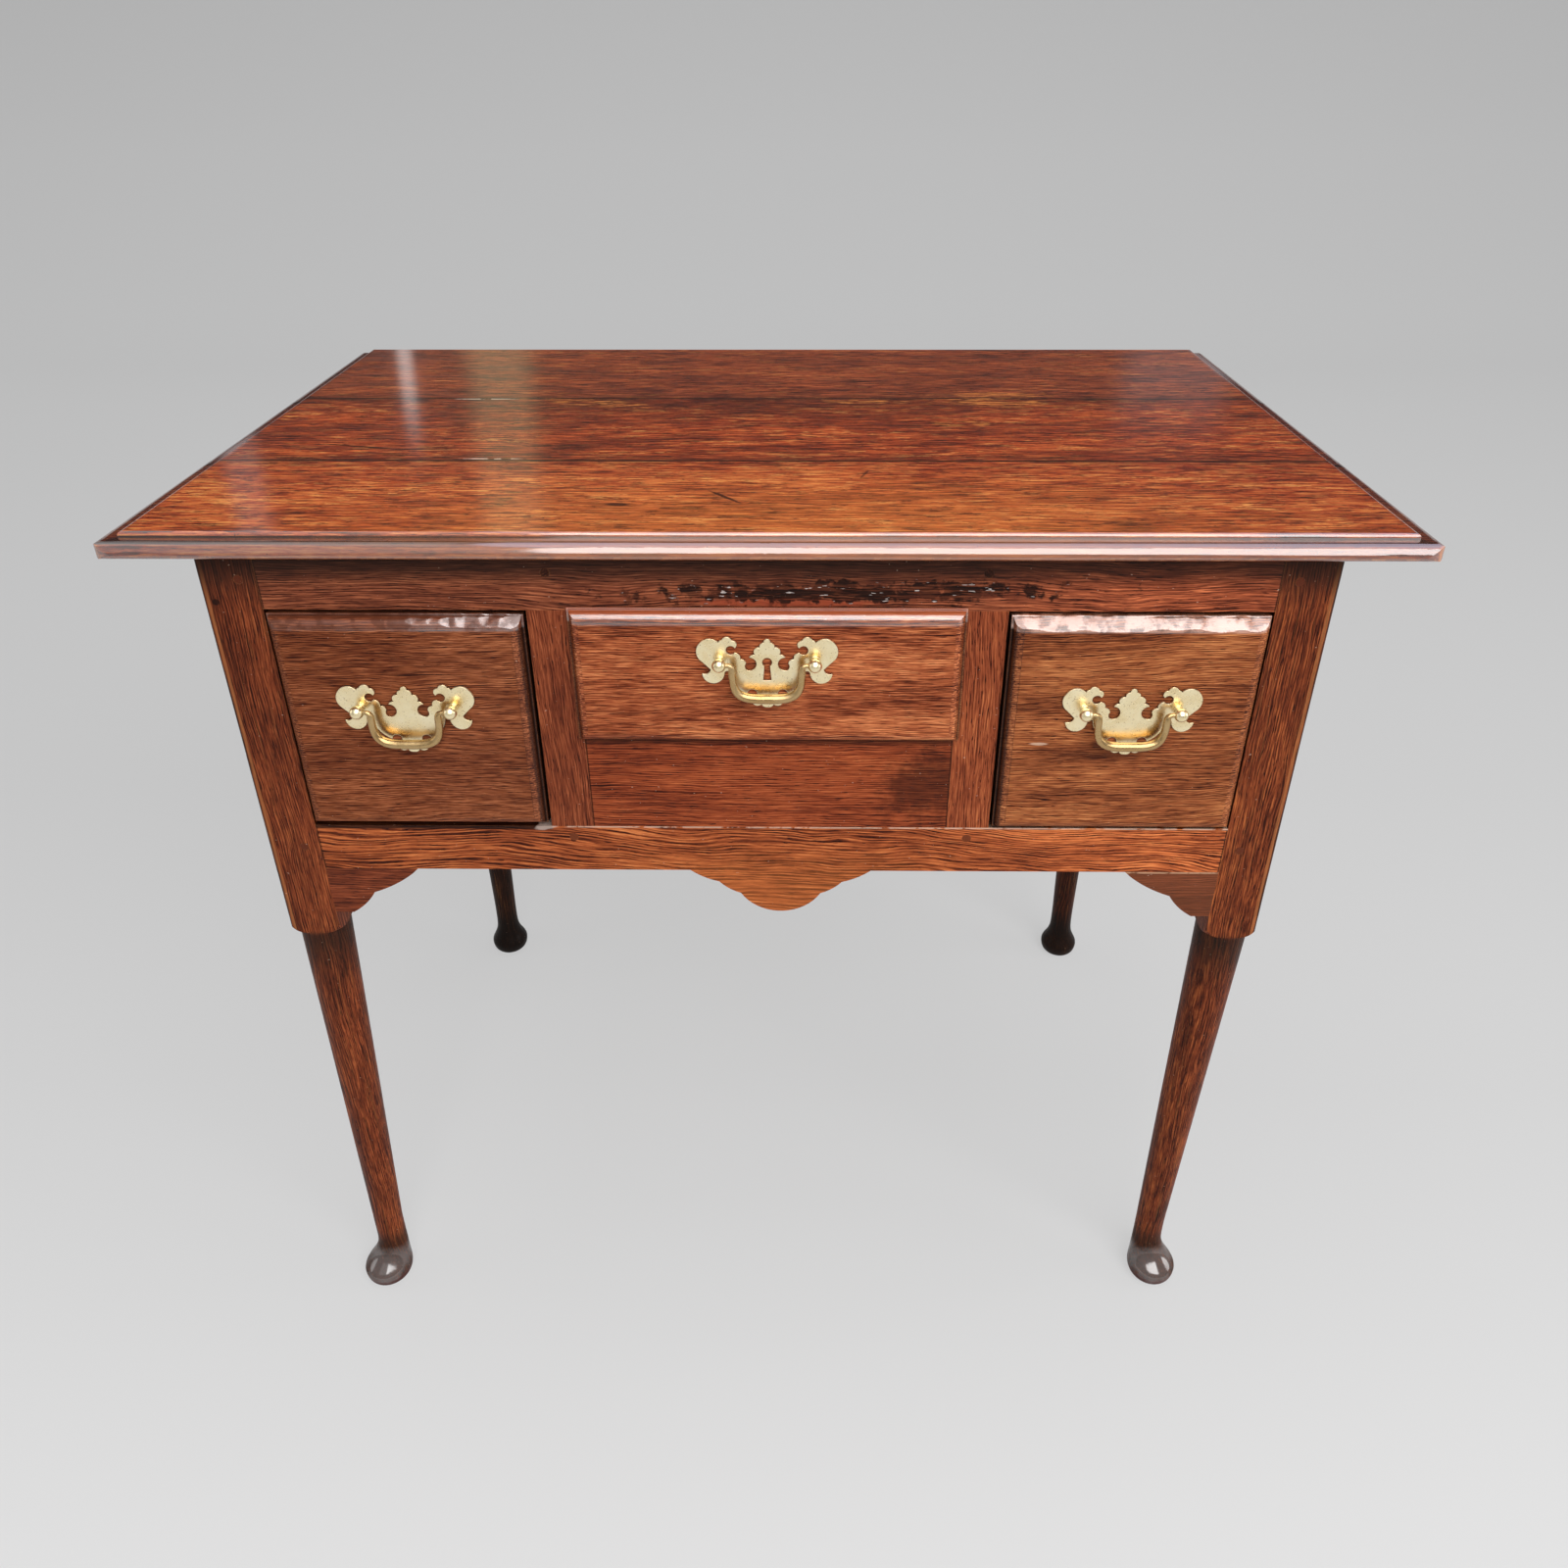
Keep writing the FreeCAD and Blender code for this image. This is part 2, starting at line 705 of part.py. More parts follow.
# The right half of the backplate's outline from the crest down, as arcs (via, end) about the middle
# of the posts' line. The left half mirrors it.
plate_crest = (0.0, 15.2)
plate_arcs = [
    ((1.5, 14.4), (1.9, 12.5)),  # bud of the crest
    ((4.0, 11.6), (4.5, 9.2)),  # two leaves of the crest
    ((7.4, 8.4), (7.4, 4.2)),
    ((9.6, 4.0), (11.2, 2.3)),  # barb
    ((6.7, -1.6), (12.8, -6.5)),  # hollow beside the crest
    ((13.9, -4.4), (13.3, -2.0)),  # two steps up to the scroll
    ((14.2, 0.3), (16.9, 1.0)),
    ((17.3, 4.2), (20.1, 5.6)),
    ((25.6, 7.2), (20.0, 8.8)),  # round eye of the scroll
    ((18.8, 11.4), (21.8, 13.9)),  # hook of the scroll
    ((25.0, 16.4), (28.0, 14.2)),
    ((29.4, 13.7), (30.0, 12.4)),
    ((36.0, 15.2), (41.7, 12.0)),  # large outer lobe
    ((44.0, 6.3), (42.0, 0.6)),
    ((38.9, -2.4), (35.3, -6.2)),
    ((36.8, -8.7), (40.7, -9.1)),  # tail under the lobe
    ((38.9, -13.6), (33.0, -15.9)),
    ((28.6, -13.4), (26.7, -8.8)),
    ((25.2, -7.1), (23.4, -8.2)),  # notch beside the bail
    ((20.5, -16.4), (12.8, -23.2)),  # lower edge behind the bail
    ((9.4, -20.1), (6.4, -23.6)),  # lower eye
    ((7.1, -26.9), (9.9, -29.4)),  # three-lobed drop
    ((7.3, -31.8), (3.8, -30.9)),
    ((2.6, -32.5), (0.0, -33.0)),
]


def along_y(x, z, radius, y0, y1):
    return Part.makeCylinder(radius, y1 - y0, V(x, y0, z), V(0, 1, 0))


def backplate(x, z, pierced):
    outline = Outline(lambda a, b: V(x + a, plate_back_y, z + b), plate_crest)
    for via, end in plate_arcs:
        outline.arc(via, end)
    starts = [plate_crest] + [end for _, end in plate_arcs]
    for (via, _), end in reversed(list(zip(plate_arcs, starts))):
        outline.arc((-via[0], via[1]), (-end[0], end[1]))
    plate = outline.face().extrude(V(0, -plate_thickness, 0))
    holes = [
        along_y(x + side * post_spacing / 2, z, shank_radius + shank_gap, plate_front_y, plate_back_y)
        for side in (-1, 1)
    ]
    if pierced:
        holes.append(keyhole(x, z))
    return plate.cut(holes)


def keyhole(x, z):
    middle_z = z - keyhole_drop
    foot_z = middle_z - keyhole_length
    slot = Outline(lambda a, b: V(x + a, plate_front_y, b), (-keyhole_neck, middle_z))
    slot.line((-keyhole_foot, foot_z), (keyhole_foot, foot_z), (keyhole_neck, middle_z))
    round_hole = along_y(x, middle_z, keyhole_radius, plate_front_y, plate_back_y)
    return fused(round_hole, slot.face().extrude(V(0, plate_thickness, 0)))


def bail_post(x, z, side):
    """A post with a collar and a ball head, bored from the inner side for the bail's pin."""
    post_x = x + side * post_spacing / 2
    end_y = front_y + front_inside + nut_thickness + shank_end
    shank = along_y(post_x, z, shank_radius, plate_front_y - collar_thickness, end_y)
    collar = along_y(post_x, z, collar_radius, plate_front_y - collar_thickness, plate_front_y)
    neck = along_y(post_x, z, neck_radius, ball_y, plate_front_y)
    ball = Part.makeSphere(ball_radius, V(post_x, ball_y, z))
    bore_length = ball_radius + pin_overshoot
    bore = Part.makeCylinder(
        pin_radius + pin_gap, bore_length, V(post_x + side * pin_overshoot, ball_y, z), V(-side, 0, 0)
    )
    return fused(shank, collar, neck, ball).cut(bore)


def post_nut(x, z):
    y0 = front_y + front_inside
    half = nut_size / 2
    nut = box(x - half, x + half, y0, y0 + nut_thickness, z - half, z + half)
    return nut.cut(along_y(x, z, shank_radius + shank_gap, y0, y0 + nut_thickness))


def bail(x, z):
    """The bail: pins in the balls, elbows down, and an oval grip that swells at its middle."""
    elbow_steps, grip_steps = 3, 7
    depth = bail_drop - bail_elbow
    # The right half of the centre line as (x, z, direction of travel)
    right = []
    for step in range(elbow_steps):
        turn = math.pi / 2 * step / elbow_steps
        centre_x = bail_half + bail_elbow
        right.append((
            centre_x - bail_elbow * math.sin(turn),
            -bail_elbow * (1 - math.cos(turn)),
            V(-math.cos(turn), 0, -math.sin(turn)),
        ))
    for step in range(grip_steps + 1):
        turn = math.pi / 2 * step / grip_steps
        across, down = math.cos(turn), math.sin(turn)
        right.append((
            bail_half * across**bail_square,
            -bail_elbow - depth * down**bail_square,
            V(-bail_half * down ** (2 - bail_square), 0, -depth * across ** (2 - bail_square)),
        ))
    left = [(-a, b, V(along.x, 0, -along.z)) for a, b, along in reversed(right[:-1])]
    spine = right + left
    rings = []
    for number, (a, b, along) in enumerate(spine):
        share = number / (len(spine) - 1)
        radius = pin_radius + (bail_swell - pin_radius) * math.sin(math.pi * share)
        rings.append(Part.Wire(Part.Circle(V(x + a, ball_y, z + b), along, radius).toShape()))
    bow = Part.makeLoft(rings, True)
    start = bail_half + bail_elbow
    pins = [
        Part.makeCylinder(pin_radius, post_spacing / 2 - start, V(x + side * start, ball_y, z), V(side, 0, 0))
        for side in (-1, 1)
    ]
    return fused(bow, *pins)


# Assembly -------------------------------------------------------------------------------------------


def drawers():
    side_z = (opening_bottom_z, opening_top_z)
    return [
        Drawer("left", -post_in, -muntin_out, *side_z, left_gap_below, False, side_handle_rise),
        Drawer("centre", -muntin_in, muntin_in, panel_top_z, opening_top_z, lipped_gap, True, centre_handle_rise),
        Drawer("right", muntin_out, post_in, *side_z, right_gap_below, False, side_handle_rise),
    ]


def all_pieces():
    back_body, back_tongue = back_board()
    side = fused(*side_panel())
    pieces = {}
    pieces.update(top_boards())
    pieces.update(legs())
    pieces["top_rail"] = top_rail()
    pieces["bottom_rail"] = bottom_rail()
    pieces["bracket_left"], pieces["bracket_right"] = both_sides(bracket())
    pieces["muntin_left"], pieces["muntin_right"] = both_sides(muntin())
    pieces["centre_panel"] = centre_panel()
    pieces["side_panel_left"], pieces["side_panel_right"] = both_sides(side)
    pieces["back_board"] = fused(back_body, back_tongue)
    pieces["runner_left_outer"], pieces["runner_right_outer"] = both_sides(outer_runner())
    pieces["runner_left_inner"], pieces["runner_right_inner"] = both_sides(inner_runner())
    pieces["runner_centre_left"], pieces["runner_centre_right"] = both_sides(centre_runner())
    pieces.update(kickers())
    pieces["drawer_stops"] = drawer_stops()
    pieces["glue_blocks"] = glue_blocks()
    pieces["rail_pegs"] = pegs()
    for drawer in drawers():
        pieces.update(drawer.pieces())
    return pieces


def main():
    os.makedirs("parts", exist_ok=True)
    for name, shape in all_pieces().items():
        if isinstance(shape, list):
            shape = Part.makeCompound(shape)
        solids = len(shape.Solids)
        print(f"{name}: {solids} solid(s), valid {shape.isValid()}, {shape.Volume / 1000:.1f} cm3")
        shape.exportStep(f"parts/{name}.step")


main()
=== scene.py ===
"""Looks of the oak lowboy: worn wood, brass handles, studio and camera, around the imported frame.

Everything is in metres in the frame of the CAD model: +X right, +Z up, the front faces -Y. Materials read
the place on the object in millimetres, so the numbers of their marks are millimetres too.
"""

import math

import bmesh
import bpy
from mathutils import Matrix, Vector, noise


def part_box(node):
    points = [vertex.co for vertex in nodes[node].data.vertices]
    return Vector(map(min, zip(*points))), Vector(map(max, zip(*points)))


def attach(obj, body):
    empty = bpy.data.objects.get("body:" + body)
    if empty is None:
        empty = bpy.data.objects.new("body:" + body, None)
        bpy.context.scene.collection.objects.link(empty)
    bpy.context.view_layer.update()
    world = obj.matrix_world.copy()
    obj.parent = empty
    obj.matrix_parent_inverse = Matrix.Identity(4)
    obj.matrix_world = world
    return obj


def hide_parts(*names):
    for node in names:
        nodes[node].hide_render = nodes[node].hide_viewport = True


MM = 0.001
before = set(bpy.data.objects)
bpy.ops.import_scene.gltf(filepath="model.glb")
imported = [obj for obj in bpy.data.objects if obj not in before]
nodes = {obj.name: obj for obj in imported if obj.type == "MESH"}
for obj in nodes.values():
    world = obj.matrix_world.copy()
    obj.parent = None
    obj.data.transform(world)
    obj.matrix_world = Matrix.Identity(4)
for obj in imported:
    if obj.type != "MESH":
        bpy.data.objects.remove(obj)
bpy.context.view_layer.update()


# Places taken from the frame ------------------------------------------------------------------------

TOP_LOW, TOP_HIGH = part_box("top_board_front")
TOP_Z = TOP_HIGH.z
NOSE_Y = TOP_LOW.y  # the front edge of the top
FRONT_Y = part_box("top_rail")[0].y  # the front face of the case


# Camera -----------------------------------------------------------------------------------------------

PHOTO_SIDE = 1600.0  # pixels
FOCAL_PX = 1201.0
AXIS_PX = (807.0, 710.0)  # where the lens axis meets the photograph
CAMERA_X, CAMERA_AHEAD, CAMERA_HIGH = 0.0223, 0.6590, 0.9564  # ahead of the front of the case
CAMERA_PITCH = math.radians(-29.1)
CAMERA_YAW = math.radians(0.67)
CAMERA_ROLL = math.radians(-0.14)
SENSOR_MM = 36.0


def make_camera():
    data = bpy.data.cameras.new("camera")
    data.sensor_width = SENSOR_MM
    data.lens = SENSOR_MM * FOCAL_PX / PHOTO_SIDE
    data.shift_x = -(AXIS_PX[0] - PHOTO_SIDE / 2) / PHOTO_SIDE
    data.shift_y = (AXIS_PX[1] - PHOTO_SIDE / 2) / PHOTO_SIDE
    camera = bpy.data.objects.new("camera", data)
    camera.location = (CAMERA_X, FRONT_Y - CAMERA_AHEAD, CAMERA_HIGH)
    yaw = Matrix.Rotation(CAMERA_YAW, 3, "Z")
    pitch = Matrix.Rotation(math.pi / 2 + CAMERA_PITCH, 3, "X")
    roll = Matrix.Rotation(CAMERA_ROLL, 3, "Z")
    camera.rotation_euler = (yaw @ pitch @ roll).to_euler()
    bpy.context.scene.collection.objects.link(camera)
    bpy.context.scene.camera = camera


make_camera()


# Node building ----------------------------------------------------------------------------------------

MIX_SHARE, MIX_A, MIX_B, MIX_RESULT = 0, 6, 7, 2  # the colour sockets of a Mix node
EDGE_SAMPLES = 5
BEVEL_SAMPLES = 6
SRGB_STRAIGHT = 10  # levels up to this lie on the straight part of sRGB's curve


class Net:
    """Short calls for the nodes of one material or group."""

    def __init__(self, tree):
        self.tree = tree

    def node(self, kind, **settings):
        node = self.tree.nodes.new(kind)
        for key, value in settings.items():
            setattr(node, key, value)
        return node

    def feed(self, socket, value):
        if isinstance(value, bpy.types.NodeSocket):
            self.tree.links.new(value, socket)
        elif socket.type == "RGBA" and len(value) == 3:
            socket.default_value = (*value, 1.0)
        else:
            socket.default_value = value

    def math(self, operation, *values, clamp=False):
        node = self.node("ShaderNodeMath", operation=operation, use_clamp=clamp)
        for socket, value in zip(node.inputs, values):
            self.feed(socket, value)
        return node.outputs[0]

    def add(self, *values):
        total = values[0]
        for value in values[1:]:
            total = self.math("ADD", total, value)
        return total

    def minus(self, a, b):
        return self.math("SUBTRACT", a, b)

    def times(self, a, b):
        return self.math("MULTIPLY", a, b)

    def over(self, a, b):
        return self.math("DIVIDE", a, b)

    def gap(self, a, b):
        """How far apart two values are."""
        return self.math("ABSOLUTE", self.minus(a, b))

    def length(self, a, b):
        """The length of the diagonal with the sides a and b."""
        return self.math("SQRT", self.add(self.times(a, a), self.times(b, b)))

    def about(self, value, size):
        """A noise value moved to swing about zero by up to size."""
        return self.times(self.minus(value, 0.5), 2 * size)

    def vector(self, operation, a, b):
        node = self.node("ShaderNodeVectorMath", operation=operation)
        self.feed(node.inputs[0], a)
        self.feed(node.inputs[1], b)
        return node.outputs["Vector"]

    def remap(self, value, low, high, to_low=0.0, to_high=1.0, smooth=True):
        node = self.node("ShaderNodeMapRange", interpolation_type="SMOOTHSTEP" if smooth else "LINEAR")
        for socket, entry in zip(node.inputs[:5], (value, low, high, to_low, to_high)):
            self.feed(socket, entry)
        return node.outputs[0]

    def mix(self, share, a, b, blend="MIX"):
        node = self.node("ShaderNodeMix", data_type="RGBA", blend_type=blend)
        for place, entry in ((MIX_SHARE, share), (MIX_A, a), (MIX_B, b)):
            self.feed(node.inputs[place], entry)
        return node.outputs[MIX_RESULT]

    def ramp(self, value, *stops):
        node = self.node("ShaderNodeValToRGB")
        elements = node.color_ramp.elements
        while len(elements) < len(stops):
            elements.new(1.0)
        for element, (place, colour) in zip(elements, stops):
            element.position = place
            element.color = (*colour, 1.0)
        self.feed(node.inputs[0], value)
        return node.outputs[0]

    def noise(self, vector, detail=2.0, roughness=0.5):
        node = self.node("ShaderNodeTexNoise")
        self.feed(node.inputs["Vector"], vector)
        for name, entry in (("Scale", 1.0), ("Detail", detail), ("Roughness", roughness)):
            self.feed(node.inputs[name], entry)
        return node.outputs["Fac"]

    def split(self, vector):
        node = self.node("ShaderNodeSeparateXYZ")
        self.feed(node.inputs[0], vector)
        return list(node.outputs)

    def join(self, x, y, z):
        node = self.node("ShaderNodeCombineXYZ")
        for socket, entry in zip(node.inputs, (x, y, z)):
            self.feed(socket, entry)
        return node.outputs[0]

    def grains(self, place, lengths, detail=2.0, roughness=0.5):
        """Noise whose features measure lengths, in millimetres along the three parts of place."""
        parts = [self.over(part, length) for part, length in zip(place, lengths)]
        return self.noise(self.join(*parts), detail, roughness)

    def place(self):
        """The place on the object in millimetres, as three sockets."""
        coordinates = self.node("ShaderNodeTexCoord").outputs["Object"]
        return self.split(self.vector("MULTIPLY", coordinates, (1 / MM,) * 3))

    def near(self, distance, inside=False):
        """0 in the open and 1 in a crevice, or on a thin edge where inside is set."""
        node = self.node("ShaderNodeAmbientOcclusion", samples=EDGE_SAMPLES, inside=inside, only_local=inside)
        self.feed(node.inputs["Distance"], distance * MM)
        return self.minus(1.0, node.outputs["AO"])

    def shader(self, colour, roughness, normal, **settings):
        shader = self.node("ShaderNodeBsdfPrincipled")
        self.feed(shader.inputs["Base Color"], colour)
        self.feed(shader.inputs["Roughness"], roughness)
        self.feed(shader.inputs["Normal"], normal)
        for key, value in settings.items():
            self.feed(shader.inputs[key.replace("_", " ")], value)
        self.surface(shader)

    def surface(self, shader):
        output = self.node("ShaderNodeOutputMaterial")
        self.feed(output.inputs["Surface"], shader.outputs[0])

    def bump(self, height, depth):
        """A normal from height, where a height of 1 stands depth millimetres proud."""
        node = self.node("ShaderNodeBump")
        self.feed(node.inputs["Strength"], 1.0)
        self.feed(node.inputs["Distance"], depth * MM)
        self.feed(node.inputs["Height"], height)
        return node.outputs[0]


def new_material(name):
    material = bpy.data.materials.new(name)
    material.use_nodes = True
    material.node_tree.nodes.clear()
    return material, Net(material.node_tree)


def dress(obj, material):
    obj.data.materials.clear()
    obj.data.materials.append(material)


def linear(level):
    """An sRGB level from 0 to 255 as the linear value that the nodes take."""
    share = level / 255
    return ((share + 0.055) / 1.055) ** 2.4 if level > SRGB_STRAIGHT else share / 12.92


def srgb(*levels):
    return tuple(linear(level) for level in levels)


# Oak ----------------------------------------------------------------------------------------------------

# How long the grain's features are along the board, across it and into it, in millimetres.
SWAY = (150.0, 60.0, 60.0)
WIGGLE = (24.0, 9.0, 9.0)
FIBRE = (18.0, 0.85, 0.85)
PORE = (7.0, 0.65, 0.65)
CLOUD = (95.0, 22.0, 22.0)
STREAK = (30.0, 1.8, 1.8)
RING_LENGTH, PATCH_LENGTH = 260.0, 38.0  # along the board, of uneven rings and of their strong patches
SEED_LENGTH = 977.0  # a seed of 1 moves the grain this far along


def oak_group():
    """The grain of oak: growth rings round a pith, fibres, pores and clouds.

    Vector is in millimetres from the middle of the board: X along the grain, Y across, Z into it.
    """
    tree = bpy.data.node_groups.new("oak_grain", "ShaderNodeTree")
    tree.interface.new_socket("Vector", in_out="INPUT", socket_type="NodeSocketVector")
    for name in ("Pith across", "Pith deep", "Slope", "Pitch", "Wander", "Seed"):
        tree.interface.new_socket(name, in_out="INPUT", socket_type="NodeSocketFloat")
    for name in ("Ring", "Fibre", "Pore", "Cloud", "Streak"):
        tree.interface.new_socket(name, in_out="OUTPUT", socket_type="NodeSocketFloat")
    net = Net(tree)
    given = net.node("NodeGroupInput").outputs
    result = net.node("NodeGroupOutput").inputs
    from_middle, across, deep = net.split(given["Vector"])
    along = net.add(from_middle, net.times(given["Seed"], SEED_LENGTH))

    place = (along, across, deep)
    sway = net.times(net.about(net.grains(place, SWAY), 1.0), given["Wander"])
    wiggle = net.about(net.grains(place, WIGGLE), 1.1)
    u = net.add(across, net.times(from_middle, given["Slope"]), sway, wiggle)
    reach = net.minus(u, given["Pith across"])
    depth = net.minus(deep, given["Pith deep"])
    ring = net.over(net.length(reach, depth), given["Pitch"])
    uneven = net.noise(net.join(net.over(along, RING_LENGTH), net.times(ring, 0.45), 0.0))
    ring = net.add(ring, net.about(uneven, 1.1))
    wave = net.times(net.add(net.math("COSINE", net.times(ring, 2 * math.pi)), 1.0), 0.5)
    patchy = net.noise(net.join(net.over(along, PATCH_LENGTH), net.times(ring, 0.55), 3.0))
    wave = net.times(net.math("POWER", wave, 1.4), net.remap(patchy, 0.30, 0.66, 0.25, 1.0))
    net.feed(result["Ring"], wave)

    place = (along, u, deep)
    net.feed(result["Fibre"], net.grains(place, FIBRE, 2.0, 0.65))
    dash = net.remap(net.grains(place, PORE, 1.0), 0.60, 0.70)
    net.feed(result["Pore"], net.times(dash, net.remap(wave, 0.05, 0.5, 0.25, 1.0)))
    net.feed(result["Cloud"], net.grains(place, CLOUD, 4.0, 0.6))
    net.feed(result["Streak"], net.grains(place, STREAK, 4.0, 0.72))
    return tree


OAK = oak_group()
PARTS = {"X": 0, "Y": 1, "Z": 2}
COAT_IOR = 2.4
BASE_TONE = 0.60
TONE_PLACES = (0.0, 0.28, 0.60, 1.0)
EDGE_REACH, DIRT_AND_SHADE_REACH = 1.6, 5.0

WORN = srgb(196, 122, 66)
# Dark brown for grime, dark joints and scratches, and also for painted shade in crevices and under parts.
GRIME_AND_SHADE = srgb(26, 13, 9)
FLECK = srgb(222, 186, 160)
PALE = srgb(236, 146, 70)
GOLD = srgb(232, 150, 84)
# Dark brown for stains, pores and knots, and also for painted shade on the drawers' inner sides.
STAIN_AND_SHADE = srgb(40, 20, 13)
SHADE = srgb(44, 30, 23)


class Finish:
    """What boards share: tones from the pores to the palest late wood, and how strong each effect is.

    ring, fibre, cloud, pore and streak move the tone. rough, level, coat and coat_rough make the polish,
    relief is the grain's depth in millimetres, and dirt_and_shade, wear and fleck are shares of the colours
    laid over; dirt_and_shade lays grime and painted shade.
    """

    PLAIN = dict(ring=0.52, fibre=0.62, cloud=0.34, pore=0.5, streak=0.14, rough=0.42, level=0.06, coat=0.02,
                 coat_rough=0.2, relief=0.16, dirt_and_shade=0.85, wear=0.5, fleck=0.5)

    def __init__(self, *tones, **changes):
        self.tones = [srgb(*tone) for tone in tones]
        vars(self).update({**self.PLAIN, **changes})


class Board:
    """The material of one board while it is built: its sockets, which the marks read and change.

    axes names the object's axes along the grain, across it and into the board. pith is where the rings'
    middle lies from the board's, across and into it. slope tilts the grain, pitch is from ring to ring, and
    wander is how far the grain sways.
    """

    def __init__(self, name, finish, axes, pith=(-170.0, -60.0), slope=0.0, pitch=2.2, wander=7.0,
                 marks=None):
        material, self.net = new_material("oak_" + name)
        net = self.net
        self.low, self.high = (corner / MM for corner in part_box(name))
        self.place = net.place()
        self.x, self.y, self.z = self.place
        self.face = (self.x, self.y if axes.endswith("Z") else self.z)
        middle = (self.low + self.high) / 2
        parts = [net.minus(self.place[PARTS[axis]], middle[PARTS[axis]]) for axis in axes]
        seed = 1.0 + sorted(nodes).index(name) * 0.37
        group = net.node("ShaderNodeGroup", node_tree=OAK)
        for socket, value in zip(group.inputs, (net.join(*parts), *pith, slope, pitch, wander, seed)):
            net.feed(socket, value)
        ring, fibre, pore, self.cloud, streak = group.outputs
        tone = net.add(
            BASE_TONE,
            net.times(ring, -finish.ring),
            net.times(pore, -finish.pore),
            net.about(fibre, finish.fibre),
            net.about(self.cloud, finish.cloud),
            net.about(streak, finish.streak),
        )
        tone = net.math("ADD", tone, 0.0, clamp=True)
        self.colour = net.ramp(tone, *zip(TONE_PLACES, finish.tones))
        self.ragged = self.grains((9.0, 9.0, 9.0), 4.0, 0.6)
        self.coat = finish.coat
        self.height = net.add(net.times(ring, -0.5), net.times(pore, -1.0), net.times(fibre, 0.3))
        if marks:
            marks(self)
        self.age(finish)
        rough = net.remap(self.cloud, 0.3, 0.7, finish.rough - 0.05, finish.rough + 0.07)
        net.shader(
            self.colour, rough, net.bump(self.height, finish.relief), Specular_IOR_Level=finish.level,
            Coat_Weight=self.coat, Coat_Roughness=finish.coat_rough, Coat_IOR=COAT_IOR,
        )
        dress(nodes[name], material)

    def age(self, finish):
        """Pale flecks, rubbed edges, and grime with painted shade in the crevices, over all other marks."""
        net = self.net
        self.lay(net.remap(self.grains((2.6, 1.5, 1.5), 1.0), 0.77, 0.81), finish.fleck, FLECK)
        edge = net.remap(net.near(EDGE_REACH, inside=True), 0.42, 0.80)
        edge = net.times(edge, net.remap(self.ragged, 0.40, 0.60, 0.15, 1.0))
        self.lay(edge, finish.wear, WORN)
        # Grime with painted shade: crevices and the places between and under parts are darkened.
        self.lay(net.remap(net.near(DIRT_AND_SHADE_REACH), 0.20, 0.62), finish.dirt_and_shade, GRIME_AND_SHADE)

    def tint(self, share, colour, blend="MIX"):
        self.colour = self.net.mix(share, self.colour, colour, blend)

    def lay(self, mask, share, colour):
        self.tint(self.net.times(mask, share), colour)

    def grains(self, lengths, detail=2.0, roughness=0.5):
        return self.net.grains(self.place, lengths, detail, roughness)

    def spot(self, middle, radii, turn=0.0, ragged=0.5, soft=0.5):
        """A mask on the face that shows, round middle: an ellipse with a ragged edge, turned in degrees."""
        net = self.net
        across, up = (net.minus(part, start) for part, start in zip(self.face, middle))
        cosine, sine = math.cos(math.radians(turn)), math.sin(math.radians(turn))
        p = net.over(net.add(net.times(across, cosine), net.times(up, sine)), radii[0])
        q = net.over(net.add(net.times(up, cosine), net.times(across, -sine)), radii[1])
        distance = net.add(net.length(p, q), net.about(self.ragged, ragged))
        return net.remap(distance, 1.0 + soft / 2, 1.0 - soft / 2)


TOP_POLISH = dict(ring=0.30, fibre=0.50, cloud=0.50, streak=1.4, rough=0.40, level=0.10, coat=0.30,
                  coat_rough=0.09, relief=0.08, wear=0.7, fleck=0.0)
LEG_POLISH = dict(ring=0.36, level=0.05, coat_rough=0.12)
FRONT_TOP = Finish((42, 13, 6), (132, 46, 21), (206, 92, 44), (250, 158, 82), **TOP_POLISH)
MIDDLE_TOP = Finish((32, 11, 7), (104, 37, 17), (166, 67, 31), (238, 118, 58), **TOP_POLISH)
BACK_TOP = Finish((38, 16, 10), (104, 44, 26), (152, 70, 38), (200, 104, 60), **TOP_POLISH)
CASE = Finish((26, 9, 6), (82, 36, 22), (132, 63, 38), (194, 104, 64), ring=0.36, fibre=0.55)
TOP_RAIL = Finish((28, 12, 9), (92, 45, 30), (146, 79, 52), (212, 128, 86), ring=0.42, fibre=0.75)
RAIL = Finish((42, 14, 7), (124, 56, 29), (200, 105, 57), (252, 160, 94), ring=0.58)
PANEL = Finish((36, 12, 7), (112, 46, 25), (172, 82, 45), (222, 126, 74), ring=0.44, fibre=0.6)
LEFT_DRAWER = Finish((29, 11, 7), (94, 43, 25), (148, 81, 48), (212, 132, 88), ring=0.42, fibre=0.80)
CENTRE_DRAWER = Finish((44, 15, 9), (120, 52, 28), (190, 101, 60), (252, 164, 106), ring=0.42, fibre=0.85,
                       cloud=0.5)
RIGHT_DRAWER = Finish((34, 13, 8), (110, 54, 29), (174, 98, 56), (228, 150, 92), ring=0.42, fibre=0.80,
                      cloud=0.5)
LEFT_LEG = Finish((22, 8, 5), (84, 36, 20), (142, 68, 38), (208, 116, 66), fibre=0.7, **LEG_POLISH)
RIGHT_LEG = Finish((22, 8, 5), (84, 35, 19), (142, 68, 37), (208, 118, 62), fibre=0.8, **LEG_POLISH)
